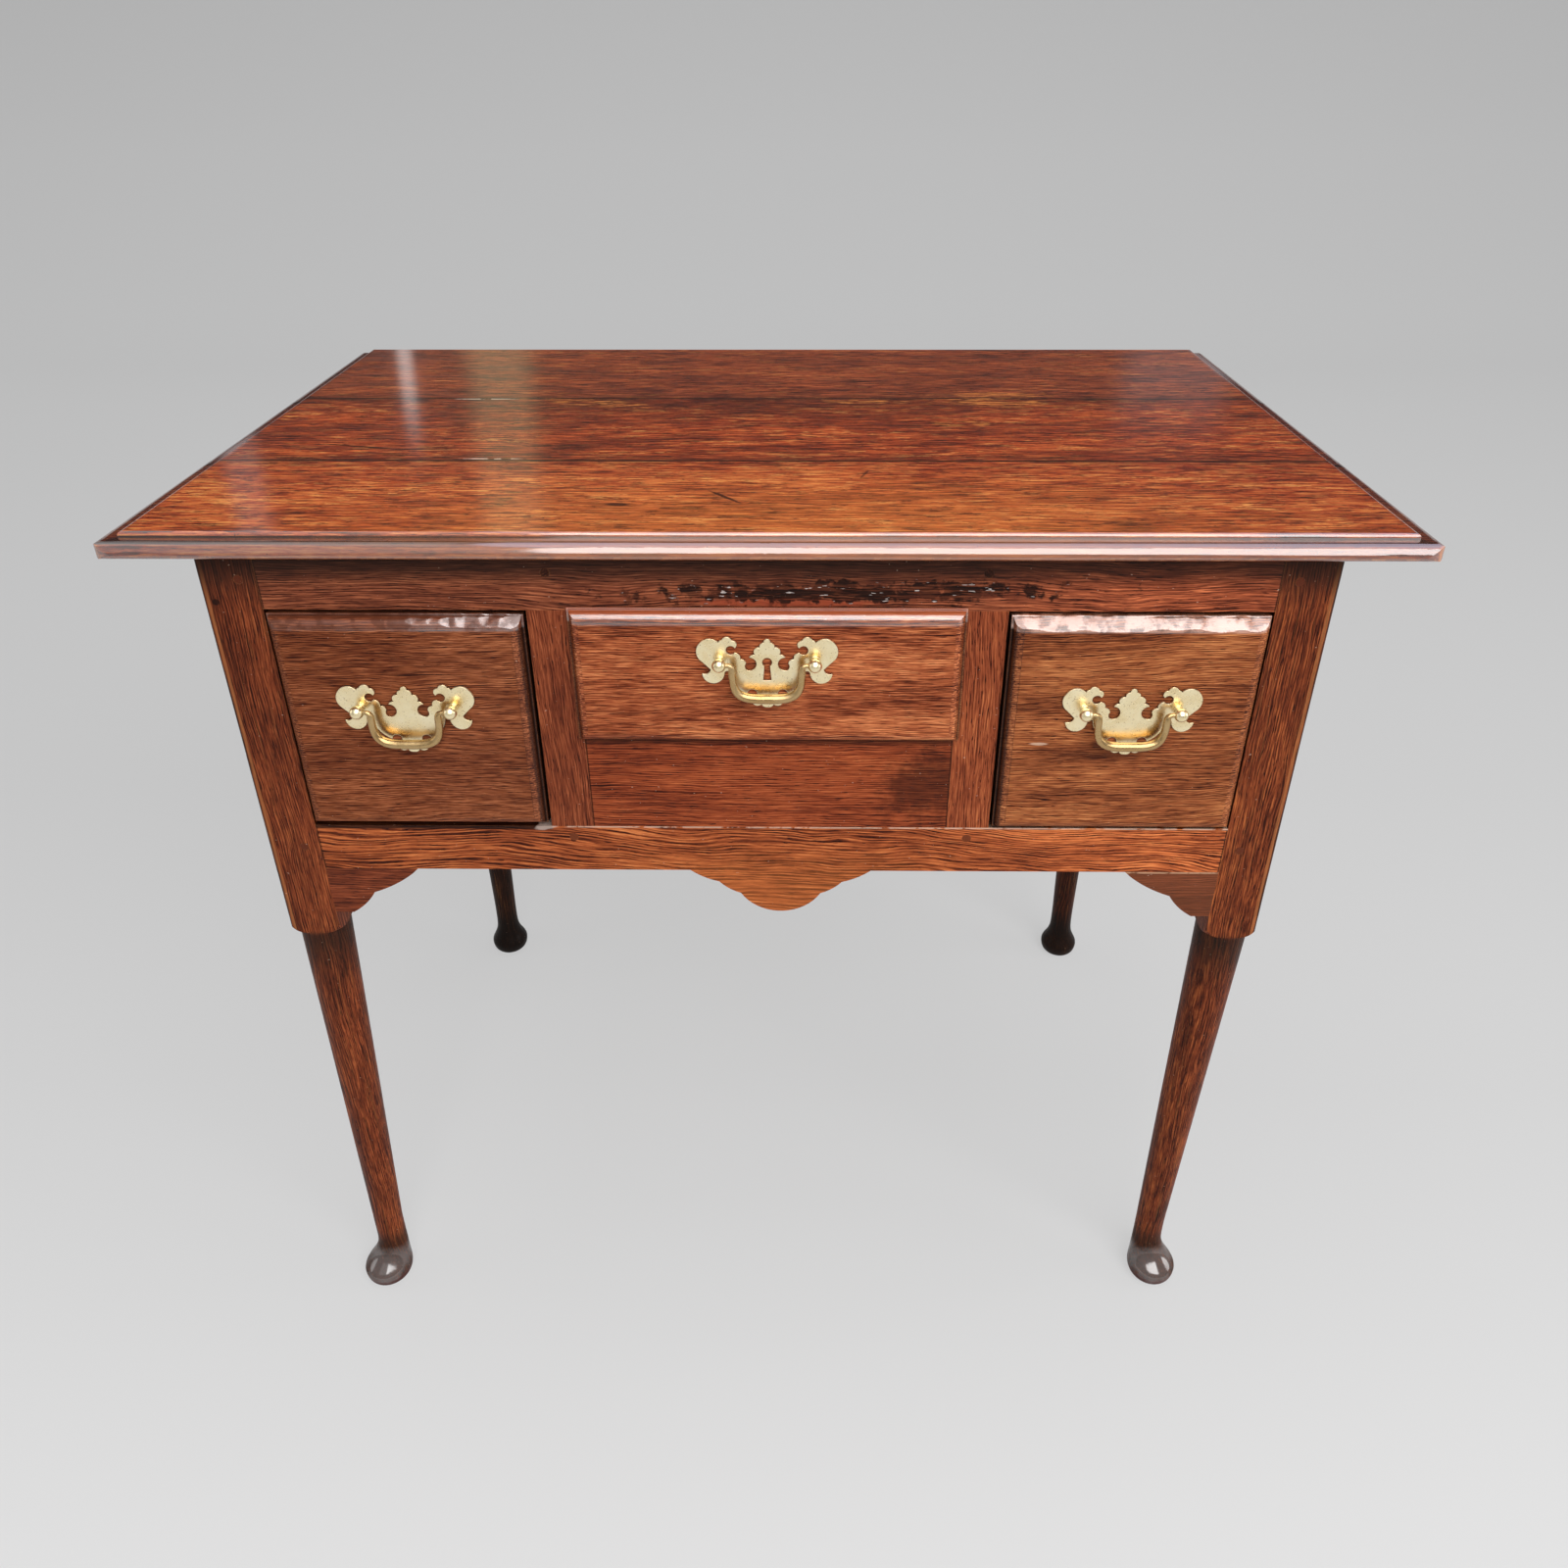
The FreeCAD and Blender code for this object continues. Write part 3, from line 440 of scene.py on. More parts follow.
# The back legs stand in the shadow of the case: their tones are painted shade, darker copies of the front
# legs'.
SHADED_BACK_LEFT_LEG = Finish((10, 5, 3), (30, 16, 10), (52, 28, 16), (84, 46, 28), ring=0.36, fibre=0.7)
SHADED_BACK_RIGHT_LEG = Finish((14, 6, 4), (46, 20, 11), (78, 36, 18), (118, 60, 32), ring=0.36, fibre=0.7)
LEFT_MUNTIN = Finish((30, 11, 7), (96, 42, 25), (146, 72, 43), (206, 118, 74), ring=0.22, fibre=0.7)
RIGHT_MUNTIN = Finish((34, 12, 7), (106, 46, 27), (162, 80, 47), (222, 130, 78), ring=0.22, fibre=0.7)
PEG = Finish((14, 6, 4), (40, 20, 13), (64, 32, 20), (110, 62, 38))
LINING = Finish((62, 36, 21), (116, 77, 47), (158, 112, 72), (194, 149, 104), rough=0.75, level=0.15,
                coat=0.0, relief=0.1, dirt_and_shade=0.6, wear=0.2)


# Marks of the top -------------------------------------------------------------------------------------

MOULD_WIDE = 16.0  # from the nose to the flat
LEDGE_DROP = 3.0  # from the flat to the moulding's ledge
MOULD_SHADE = srgb(84, 44, 34)
PALE_SPECK = srgb(250, 170, 92)
HONEY = srgb(230, 138, 62)
GLINT = srgb(250, 222, 204)
RED = srgb(170, 30, 30)
FRONT_SCRATCHES = (  # start, end, half width, share
    ((-101.0, -179.0), (-86.0, -180.0), 2.6, 0.85),
    ((-38.0, -154.0), (-16.0, -178.0), 1.5, 0.85),
    ((60.0, -128.0), (66.0, -112.0), 0.9, 0.6),
    ((8.0, -176.0), (40.0, -181.0), 0.9, 0.6),
    ((170.0, -205.0), (214.0, -209.0), 0.9, 0.6),
)
MIDDLE_SCRATCHES = (
    ((-318.0, -55.0), (-268.0, -66.0), 1.4, 0.85),
    ((-270.0, -66.0), (-226.0, -66.0), 1.1, 0.85),
)
MIDDLE_WORN = (  # middle, radii, turn in degrees
    ((-146.0, 55.0), (46.0, 9.0), -14.0),
    ((74.0, 61.0), (34.0, 6.0), 0.0),
    ((172.0, 58.0), (44.0, 12.0), -8.0),
    ((142.0, -1.0), (20.0, 7.0), 0.0),
)
BACK_WORN = ((175.0, 80.0), (44.0, 8.0), 0.0)
# Painted glints along two joints of the top.
GLINTS = ((-262.0, -211.0, 67.4), (-214.0, -175.0, -88.0))  # start and end in X, line in Y


def polished_moulding(board):
    """The moulding's polish is thicker and smoother than that of the flat; it has a painted shade below its
    ledge and a painted shade line in the ledge's quirk, darker at the front.
    """
    net = board.net
    in_x = net.minus(net.math("ABSOLUTE", board.x), board.high.x - MOULD_WIDE)
    in_y = net.minus(NOSE_Y / MM + MOULD_WIDE, board.y)
    board.flat = net.remap(net.math("MAXIMUM", in_x, in_y), 1.0, -3.0)
    board.coat = net.remap(board.flat, 0.0, 1.0, 1.0, 0.30, smooth=False)
    ledge = board.high.z - LEDGE_DROP
    # Painted shade below the ledge, and a painted shade line in its quirk, stronger along the front.
    board.lay(net.remap(board.z, ledge + 0.8, ledge), 0.62, MOULD_SHADE)
    front = net.remap(net.minus(in_y, in_x), -3.0, 3.0, 0.25, 0.85)
    board.lay(net.remap(net.gap(board.z, ledge), 1.1, 0.6), front, GRIME_AND_SHADE)


def specks(board, share):
    """Dark dashes and pale flecks along the grain, and small dark knots."""
    net = board.net
    dash = net.remap(board.grains((15.0, 3.4, 3.0), 3.0, 0.7), 0.55, 0.61)
    board.lay(net.times(dash, board.flat), 0.60, STAIN_AND_SHADE)
    pale = net.remap(board.grains((19.0, 2.6, 3.0), 3.0, 0.7), 0.57, 0.62)
    worn = net.times(board.flat, net.remap(board.cloud, 0.42, 0.62, 0.15, 1.0))
    board.lay(net.times(pale, worn), share, PALE_SPECK)
    dot = net.remap(board.grains((5.5, 3.2, 3.2), 2.0, 0.7), 0.70, 0.76)
    board.lay(dot, 0.75, STAIN_AND_SHADE)


def board_joint(board, line, spread, share):
    """A dark joint line at y = line, with smoke spreading from it."""
    net = board.net
    away = net.gap(board.y, line)
    smoke = net.times(net.remap(away, spread, 0.0), net.remap(board.cloud, 0.36, 0.60))
    board.lay(smoke, share, STAIN_AND_SHADE)
    board.tint(net.remap(away, 2.2, 0.9, 0.0, 0.95), GRIME_AND_SHADE)


def scratch(board, start, end, width, share):
    """A dark straight mark between two points."""
    run, rise = end[0] - start[0], end[1] - start[1]
    middle = ((start[0] + end[0]) / 2, (start[1] + end[1]) / 2)
    radii = (math.hypot(run, rise) / 2, width)
    board.lay(board.spot(middle, radii, math.degrees(math.atan2(rise, run)), soft=0.7), share, GRIME_AND_SHADE)


def pale_wear(board, middle, radii, turn):
    """A place where the polish is worn through: broken pale streaks along the grain."""
    streak = board.net.remap(board.grains((22.0, 2.2, 4.0), 3.0, 0.65), 0.50, 0.60)
    board.lay(board.spot(middle, radii, turn, 1.1, 0.8), streak, PALE)


def glint(board, start, end, line):
    """A painted glint: a bright broken line on the edge of a joint, between two places in X."""
    shine = board.spot(((start + end) / 2, line), ((end - start) / 2, 1.3))
    board.lay(shine, board.net.remap(board.ragged, 0.36, 0.48, 0.0, 0.7), GLINT)


def front_board_marks(board):
    """Golden middle, darker right end, rubbed corners, a chipped nose and a red mark under its left."""
    net = board.net
    polished_moulding(board)
    board.lay(board.spot((40.0, -225.0), (260.0, 75.0), soft=1.4), 0.3, HONEY)
    board.tint(net.remap(board.x, 120.0, 330.0), (0.82, 0.76, 0.77), "MULTIPLY")
    specks(board, 0.85)
    board_joint(board, board.high.y, 16.0, 0.45)
    for mark in FRONT_SCRATCHES:
        scratch(board, *mark)
    for side in (-1, 1):
        board.lay(board.spot((side * board.high.x, board.low.y), (6.5, 5.0), ragged=0.4), 0.9, PALE)
    under = board.low.z
    chips = net.times(net.remap(board.z, under + 5.5, under + 3.0), net.remap(board.ragged, 0.50, 0.60))
    board.lay(chips, 0.35, PALE)
    red = net.times(net.remap(board.z, under + 1.2, under + 0.6), net.remap(board.x, -345.0, -352.0))
    board.lay(red, 0.85, RED)


def middle_board_marks(board):
    polished_moulding(board)
    specks(board, 0.70)
    board_joint(board, board.low.y, 22.0, 0.5)
    board_joint(board, board.high.y, 34.0, 0.7)
    board.lay(board.spot((-20.0, 40.0), (240.0, 26.0), ragged=0.9, soft=1.2), 0.4, STAIN_AND_SHADE)
    for mark in MIDDLE_SCRATCHES:
        scratch(board, *mark)
    for place in MIDDLE_WORN:
        pale_wear(board, *place)
    for line in GLINTS:
        glint(board, *line)


def back_board_marks(board):
    polished_moulding(board)
    specks(board, 0.35)
    board_joint(board, board.low.y, 22.0, 0.5)
    pale_wear(board, *BACK_WORN)


# Marks of the case ------------------------------------------------------------------------------------

CASE_HALF = 348.0  # half widths: the case, inside its posts, and the outer and inner sides of the muntins
POST_IN = 312.0
MUNTIN_OUT = 149.0
MUNTIN_IN = 120.5
STRIP = srgb(168, 78, 50)
BARE_WOOD = srgb(236, 226, 220)
ARRIS_HIGHLIGHT = srgb(232, 196, 172)
BRUISE = srgb(214, 190, 176)
PENDANT = srgb(222, 128, 66)
BRACKET = srgb(128, 76, 50)
GLUE = srgb(222, 176, 140)
LOW_PEG = srgb(140, 72, 42)
POST_PEG = srgb(104, 50, 31)
POST_ARRIS = srgb(206, 132, 80)
UNDER_SQUARE_SHADE = srgb(34, 26, 20)
ANKLE = srgb(46, 32, 22)
SOLE_SHADE = srgb(84, 38, 30)
BACK_FOOT_SHADE = srgb(22, 15, 11)
RAIL_PINS = ((134.9, 477.9), (-135.4, 475.5))
POST_HOLE = (-340.2, 654.4)


def seams(board, half):
    """Dark lines where a piece meets its neighbours at x = half on both sides."""
    net = board.net
    away = net.gap(net.math("ABSOLUTE", board.x), half)
    board.tint(net.remap(away, 1.3, 0.5, 0.0, 0.85), GRIME_AND_SHADE)


def top_rail_marks(board):
    """Painted shade under the top's overhang, the split over the middle drawer and its strip."""
    net = board.net
    seams(board, POST_IN)
    board.tint(net.remap(board.x, 60.0, 260.0), (1.5, 1.3, 1.15), "MULTIPLY")
    # Painted shade under the top's overhang.
    board.tint(net.remap(board.z, board.high.z - 28.0, board.high.z - 10.0, 0.0, 0.8), SHADE)
    board.lay(board.spot((10.0, 655.0), (58.0, 2.6), ragged=0.6), 0.8, STRIP)
    torn = board.spot((42.0, 662.0), (104.0, 6.5), 1.0, 1.9)
    crack = net.times(torn, net.remap(board.grains((26.0, 3.0, 2.4), 3.0, 0.7), 0.46, 0.54))
    board.lay(torn, 0.60, STAIN_AND_SHADE)
    board.lay(crack, 0.85, GRIME_AND_SHADE)
    board.height = net.add(board.height, net.times(crack, -4.0))
    light = net.remap(board.grains((10.0, 2.2, 1.8), 2.0, 0.6), 0.64, 0.67)
    board.lay(net.times(torn, light), 0.9, BARE_WOOD)


def bottom_rail_marks(board):
    """Seams, a painted shadow under the left drawer, a painted highlight on the top arris beside it, and two
    pins.
    """
    net = board.net
    seams(board, POST_IN)
    # Painted shadow of the left drawer on the rail's top edge.
    left = net.remap(board.x, -MUNTIN_OUT + 1.0, -MUNTIN_OUT - 1.0)
    top = net.remap(board.z, board.high.z - 3.4, board.high.z - 2.2)
    board.lay(net.times(left, top), 0.9, GRIME_AND_SHADE)
    # Painted highlight along the top arris, to the right of the left drawer.
    arris = net.remap(board.z, board.high.z - 1.5, board.high.z - 0.7)
    gleam = net.times(arris, net.remap(board.ragged, 0.38, 0.52))
    board.lay(net.math("SUBTRACT", gleam, left, clamp=True), 0.8, ARRIS_HIGHLIGHT)
    board.lay(board.spot((-153.0, board.high.z - 0.5), (6.5, 2.4), 12.0, 0.9), 0.7, BRUISE)
    board.tint(net.remap(board.x, 60.0, 260.0), (1.28, 1.30, 1.30), "MULTIPLY")
    board.lay(board.spot((7.0, 430.0), (110.0, 30.0), ragged=0.6, soft=1.3), 0.30, PENDANT)
    for pin in RAIL_PINS:
        board.lay(board.spot(pin, (1.6, 1.5)), 0.8, GRIME_AND_SHADE)


def right_bracket_marks(board):
    """The pale glue line of the joint over the bracket."""
    net = board.net
    board.tint(net.remap(board.z, 390.0, 452.0, 0.45, 0.55), BRACKET)
    joint = net.remap(board.z, board.high.z - 1.8, board.high.z - 0.8)
    board.lay(net.times(joint, net.remap(board.ragged, 0.34, 0.50)), 0.7, GLUE)


def panel_marks(board):
    """Seams at the muntins, painted shade under the middle drawer and a stain."""
    net = board.net
    seams(board, MUNTIN_IN)
    # Painted shade under the middle drawer.
    board.tint(net.remap(board.z, board.high.z - 11.0, board.high.z - 2.5, 0.0, 0.85), GRIME_AND_SHADE)
    board.lay(board.spot((104.0, 520.0), (26.0, 24.0), 35.0, 1.2, 1.2), 0.6, STAIN_AND_SHADE)


def peg_marks(board):
    """The pegs of the lower rail and of the posts hardly show."""
    net = board.net
    board.tint(net.remap(board.z, 620.0, 600.0, 0.0, 0.7), LOW_PEG)
    post = net.remap(net.math("ABSOLUTE", board.x), POST_IN - 2.0, POST_IN, 0.0, 0.9)
    board.tint(post, POST_PEG)


def leg_marks(board):
    """Dark and golden streaks, pale arrises and a dark strip at the outer edge of the square's face, and
    painted shade under the top and under the square.
    """
    net = board.net
    streak = net.remap(board.grains((3.2, 3.2, 110.0), 3.0, 0.65), 0.50, 0.62)
    board.lay(streak, 0.28, STAIN_AND_SHADE)
    gold = net.remap(board.grains((2.0, 2.0, 60.0), 2.0, 0.6), 0.57, 0.67)
    board.lay(gold, 0.10, GOLD)
    dash = net.remap(board.grains((1.5, 1.5, 9.0), 2.0, 0.6), 0.60, 0.68)
    board.lay(dash, 0.45, STAIN_AND_SHADE)
    square = net.remap(board.z, 388.0, 394.0)
    face = net.times(square, net.remap(board.y, FRONT_Y / MM + 3.0, FRONT_Y / MM + 1.5))
    outer = net.minus(CASE_HALF, net.math("ABSOLUTE", board.x))
    arris = net.gap(outer, 3.4)
    board.lay(net.times(net.remap(arris, 1.5, 0.5), face), 0.45, POST_ARRIS)
    board.lay(net.times(net.remap(outer, 2.2, 1.4), face), 0.75, SHADE)
    # Painted shade on the turned part just under the square.
    board.lay(net.times(net.remap(board.z, 330.0, 386.0), net.minus(1.0, square)), 0.8, UNDER_SQUARE_SHADE)
    # Painted shade under the top.
    board.tint(net.remap(board.z, board.high.z - 42.0, board.high.z - 8.0, 0.0, 0.8), SHADE)


def front_foot_marks(board, pad_x):
    """Darker at the ankle, thick polish on the upper half of the pad, and painted shade on its underside."""
    net = board.net
    board.tint(net.remap(board.z, 58.0, 38.0, 0.0, 0.75), ANKLE)
    # Painted shade on the underside of the pad.
    board.tint(net.remap(board.z, 13.0, 8.0, 0.0, 0.85), SOLE_SHADE)
    board.coat = net.math("ADD", board.spot((pad_x, 20.0), (18.0, 11.0), soft=1.0), 0.02, clamp=True)


def left_leg_marks(board):
    leg_marks(board)
    board.lay(board.spot(POST_HOLE, (2.4, 2.2), ragged=0.4), 0.85, GRIME_AND_SHADE)
    front_foot_marks(board, -340.0)


def right_leg_marks(board):
    leg_marks(board)
    front_foot_marks(board, 330.0)


def back_leg_marks(board):
    leg_marks(board)
    # Painted shade on the back feet.
    board.tint(board.net.remap(board.z, 70.0, 34.0, 0.0, 0.85), BACK_FOOT_SHADE)


# Marks of the drawers ---------------------------------------------------------------------------------

QUIRK = 1.2  # edge of a drawer's face to the quirk of its moulding
MOULD_IN = 7.4  # and to the inner edge of its ovolo
WORN_BAND = srgb(150, 84, 58)
PALE_BAND = srgb(226, 160, 130)
WARM_EDGE_HIGHLIGHT = srgb(206, 104, 62)


def drawer_marks(board, shades, worn):
    """Grime and painted shade in the quirks of the moulding, thick polish on its ovolo, and painted shade on
    the inner sides.

    shades are the shares of painted shade on the left and right sides, and worn is the share of polish lost
    on the top ovolo.
    Returns how far below the top of the front a place is.
    """
    net = board.net
    sides = (net.minus(board.x, board.low.x), net.minus(board.high.x, board.x))
    top = net.minus(board.high.z, board.z)
    nearest = net.math("MINIMUM", top, net.minus(board.z, board.low.z))
    for side in sides:
        nearest = net.math("MINIMUM", nearest, side)
    # Painted shade on the moulding of the inner sides.
    for side, share in zip(sides, shades):
        if share:
            board.lay(net.times(net.remap(side, 4.6, 3.0), net.remap(top, 3.0, 9.0)), share, STAIN_AND_SHADE)
    # Grime and painted shade in the quirk and at the inner edge of the ovolo.
    for away, place, width, share in ((nearest, QUIRK, 0.9, 0.75), (top, MOULD_IN, 0.8, 0.5)):
        board.lay(net.remap(net.gap(away, place), width, 0.2), share, GRIME_AND_SHADE)
    band = net.remap(top, MOULD_IN + 2.5, MOULD_IN + 1.0)
    patches = net.remap(board.ragged, 0.40, 0.56, 1.0 - worn, 1.0)
    around = net.remap(nearest, MOULD_IN + 0.6, MOULD_IN - 0.6, 0.02, 0.07)
    board.coat = net.math("MAXIMUM", net.times(band, patches), around)
    return top


def left_drawer_marks(board):
    """Chips along the top ovolo, and less polish at its left end."""
    net = board.net
    top = drawer_marks(board, (0.0, 0.75), 0.55)
    chips = net.times(net.remap(top, MOULD_IN + 1.0, MOULD_IN - 1.0), net.remap(board.ragged, 0.50, 0.42))
    board.lay(chips, 0.7, GRIME_AND_SHADE)
    board.coat = net.times(board.coat, net.remap(board.x, -245.0, -205.0, 0.35, 1.0))
    board.lay(net.remap(top, MOULD_IN + 1.5, MOULD_IN), 0.4, WORN_BAND)


def centre_drawer_marks(board):
    """A painted warm highlight on the top edge, and a paler right half."""
    net = board.net
    top = drawer_marks(board, (0.45, 0.45), 0.1)
    # Painted warm highlight on the top lip.
    board.tint(net.remap(top, 3.6, 2.4, 0.0, 0.65), WARM_EDGE_HIGHLIGHT)
    board.tint(net.remap(board.x, -20.0, 90.0), (1.10, 1.16, 1.18), "MULTIPLY")


def right_drawer_marks(board):
    """A pale rubbed top ovolo, and a short pale scratch on the face."""
    net = board.net
    top = drawer_marks(board, (0.75, 0.0), 0.35)
    rubbed = net.remap(board.ragged, 0.42, 0.58, 0.15, 0.75)
    board.lay(net.remap(top, MOULD_IN + 2.4, MOULD_IN), rubbed, PALE_BAND)
    board.lay(board.spot((174.0, 559.0), (6.0, 0.9), ragged=0.6), 0.8, FLECK)


# Dressing the frame -----------------------------------------------------------------------------------

BOARDS = (  # name, finish, axes, pith, slope, pitch, wander, marks
    ("top_board_front", FRONT_TOP, "XYZ", (-240.0, -40.0), 0.01, 2.6, 3.0, front_board_marks),
    ("top_board_middle", MIDDLE_TOP, "XYZ", (210.0, -60.0), -0.01, 2.6, 3.0, middle_board_marks),
    ("top_board_back", BACK_TOP, "XYZ", (-190.0, -80.0), 0.0, 3.0, 3.0, back_board_marks),
    ("top_rail", TOP_RAIL, "XZY", (-90.0, -70.0), 0.015, 1.4, 9.0, top_rail_marks),
    ("bottom_rail", RAIL, "XZY", (-60.0, -70.0), 0.05, 1.8, 16.0, bottom_rail_marks),
    ("bracket_left", CASE, "XZY", (-130.0, -70.0), 0.06, 1.9),
    ("bracket_right", CASE, "XZY", (-130.0, -70.0), -0.06, 1.9, 7.0, right_bracket_marks),
    ("centre_panel", PANEL, "XZY", (-220.0, -60.0), 0.01, 1.7, 6.0, panel_marks),
    ("drawer_left_front", LEFT_DRAWER, "XZY", (-200.0, -50.0), -0.02, 1.2, 7.0, left_drawer_marks),
    ("drawer_centre_front", CENTRE_DRAWER, "XZY", (-260.0, -60.0), 0.005, 1.1, 4.0, centre_drawer_marks),
    ("drawer_right_front", RIGHT_DRAWER, "XZY", (-170.0, -60.0), -0.03, 1.3, 9.0, right_drawer_marks),
    ("muntin_left", LEFT_MUNTIN, "ZXY", (-110.0, -50.0), 0.02, 1.5),
    ("side_panel_left", CASE, "YZX", (-260.0, -60.0), 0.01, 2.6, 12.0),
    ("leg_front_left", LEFT_LEG, "ZXY", (-70.0, -60.0), 0.01, 1.6, 6.0, left_leg_marks),
    ("leg_back_left", SHADED_BACK_LEFT_LEG, "ZXY", (-80.0, -50.0), -0.01, 1.9, 6.0, back_leg_marks),
    ("muntin_right", RIGHT_MUNTIN, "ZXY", (-110.0, -50.0), 0.02, 1.5),
    ("side_panel_right", CASE, "YZX", (-260.0, -60.0), 0.01, 2.6, 12.0),
    ("leg_front_right", RIGHT_LEG, "ZXY", (-70.0, -60.0), 0.01, 1.6, 6.0, right_leg_marks),
    ("leg_back_right", SHADED_BACK_RIGHT_LEG, "ZXY", (-80.0, -50.0), -0.01, 1.9, 6.0, back_leg_marks),
    ("rail_pegs", PEG, "YXZ", (-40.0, -40.0), 0.0, 2.2, 7.0, peg_marks),
)
LINING_PITCH = 2.8
BRASS = ("backplate", "bail", "post_nuts")
BRASS_TONES = ((0.25, srgb(232, 208, 158)), (0.55, srgb(248, 232, 190)), (0.85, srgb(255, 244, 214)))
BRASS_SPECK = srgb(140, 104, 56)
BRASS_DIRT = srgb(92, 64, 34)


def dress_boards():
    for row in BOARDS:
        Board(*row)
    shown = [row[0] for row in BOARDS]
    for name in sorted(nodes):
        if name not in shown and not name.startswith(BRASS):
            axes = "XZY" if name.endswith("_back") or name == "back_board" else "YZX"
            Board(name, LINING, axes, pitch=LINING_PITCH)


def dress_brass(name, dull, prefixes):
    """Polished brass with brown specks, darkened by dull."""
    material, net = new_material(name)
    place = net.place()
    cloud = net.grains(place, (14.0, 14.0, 14.0), 4.0, 0.6)
    speck = net.grains(place, (1.1, 1.1, 1.1), 3.0, 0.6)
    colour = net.mix(1.0, net.ramp(cloud, *BRASS_TONES), dull, "MULTIPLY")
    colour = net.mix(net.remap(speck, 0.60, 0.74, 0.0, 0.8), colour, BRASS_SPECK)
    colour = net.mix(net.remap(net.near(1.5), 0.35, 0.9, 0.0, 0.75), colour, BRASS_DIRT)
    scratches = net.grains(place, (9.0, 0.5, 0.5))
    bump = net.bump(net.add(cloud, net.times(scratches, 0.06)), 0.35)
    rounded = net.node("ShaderNodeBevel", samples=BEVEL_SAMPLES)
    net.feed(rounded.inputs["Radius"], 0.6 * MM)
    net.feed(bump.node.inputs["Normal"], rounded.outputs[0])
    net.shader(colour, net.remap(cloud, 0.3, 0.7, 0.22, 0.36), bump, Metallic=1.0)
    for node_name, obj in nodes.items():
        if node_name.startswith(prefixes):
            dress(obj, material)


# Worn edges -------------------------------------------------------------------------------------------

WORN_DROP, WORN_DEEP = 11.0, 8.0  # how far below the top and behind the face the moulding can wear
CUT_DROP, CUT_DEEP = 12.0, 9.0  # and how far its faces are cut finer for that
CUT_LINES = (12.0, 10.5, 9.4, 8.4)  # below the top
LONG_WANDER, SHORT_WANDER, DOWN_WANDER = 15.0, 7.0, 9.0
WELD = 1e-6  # metres
FLAT = 0.9995  # a face whose normal is this close to an axis stays flat
SHARP = math.radians(32)


def cut_top(shape, low, high, place, direction):
    """Cuts the faces of a drawer front's top moulding along a plane."""
    region = [face for face in shape.faces if max(v.co.z for v in face.verts) > high.z - CUT_DROP * MM
              and min(v.co.y for v in face.verts) < low.y + CUT_DEEP * MM]
    edges = {edge for face in region for edge in face.edges}
    corners = {vertex for face in region for vertex in face.verts}
    geometry = [*region, *edges, *corners]
    bmesh.ops.bisect_plane(shape, geom=geometry, plane_co=place, plane_no=direction, dist=WELD)


def worn_front(name, body, depth, lean, uneven, ragged, step, seed):
    """A drawer front whose top ovolo is worn to a ragged slope, in place of the crisp one.

    depth is where the slope lies, in millimetres behind and below the corner of the moulding taken together,
    and lean is how much deeper it is at the right end than in the middle. uneven and ragged are how far it
    wanders over long and short lengths, and step is the length of its cuts.
    """
    source = nodes[name]
    low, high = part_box(name)
    wide = high.x - low.x
    shape = bmesh.new()
    shape.from_mesh(source.data)
    bmesh.ops.remove_doubles(shape, verts=shape.verts, dist=WELD)
    for drop in CUT_LINES:
        cut_top(shape, low, high, (0, 0, high.z - drop * MM), (0, 0, 1))
    count = int(wide / MM / step)
    for index in range(1, count):
        cut_top(shape, low, high, (low.x + wide * index / count, 0, 0), (1, 0, 0))
    for vertex in shape.verts:
        below = (high.z - vertex.co.z) / MM
        behind = (vertex.co.y - low.y) / MM
        if below > WORN_DROP or behind > WORN_DEEP:
            continue
        x = vertex.co.x / MM
        wander = uneven * noise.noise(Vector((x / LONG_WANDER, seed, 0.0)))
        wander += ragged * noise.noise(Vector((x / SHORT_WANDER, seed, below / DOWN_WANDER)))
        share = (2 * vertex.co.x - low.x - high.x) / wide
        short = depth + lean * share + wander - below - behind
        if short > 0:
            vertex.co.y += short / 2 * MM
            vertex.co.z -= short / 2 * MM
    shape.normal_update()
    mesh = bpy.data.meshes.new("worn_" + name)
    shape.to_mesh(mesh)
    shape.free()
    mesh.attributes.remove(mesh.attributes["custom_normal"])
    for polygon in mesh.polygons:
        polygon.use_smooth = max(abs(part) for part in polygon.normal) < FLAT
    mesh.set_sharp_from_angle(angle=SHARP)
    front = bpy.data.objects.new("worn_" + name, mesh)
    bpy.context.scene.collection.objects.link(front)
    dress(front, source.data.materials[0])
    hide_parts(name)
    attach(front, body)


dress_boards()
dress_brass("brass", (1.0, 1.0, 1.0), ("backplate", "bail_posts", "post_nuts"))
dress_brass("brass_bail", (0.55, 0.44, 0.33), ("bail_left", "bail_centre", "bail_right"))
worn_front("drawer_right_front", "drawer_right", 7.7, 0.2, 1.8, 0.6, 2.0, 3.7)
worn_front("drawer_left_front", "drawer_left", 5.0, 2.5, 1.6, 1.1, 1.6, 9.2)


# Studio -----------------------------------------------------------------------------------------------

FLOOR_FRONT, FLOOR_BACK = -3.2, 3.1  # in Y
FLOOR_HALF = 7.0
COVE_RADIUS = 0.9
COVE_STEPS = 16
WALL_TOP = 1.17
LIT_GREY, SEEN_GREY = (0.70,) * 3, (0.21,) * 3
STUDIO_TONES = (  # what the camera sees, from the front of the floor to the top of the wall
    (0.0, 0.60), (0.045, 0.54), (0.09, 0.494), (0.19, 0.465), (0.56, 0.468), (0.74, 0.452), (0.90, 0.425),
    (1.0, 0.39),
)
TONES_START, TONES_END = -0.5, 5.1  # in Y and Z taken together
AIR_LIT, AIR_SEEN = (0.04, 0.04, 0.045), (0.43, 0.43, 0.43)

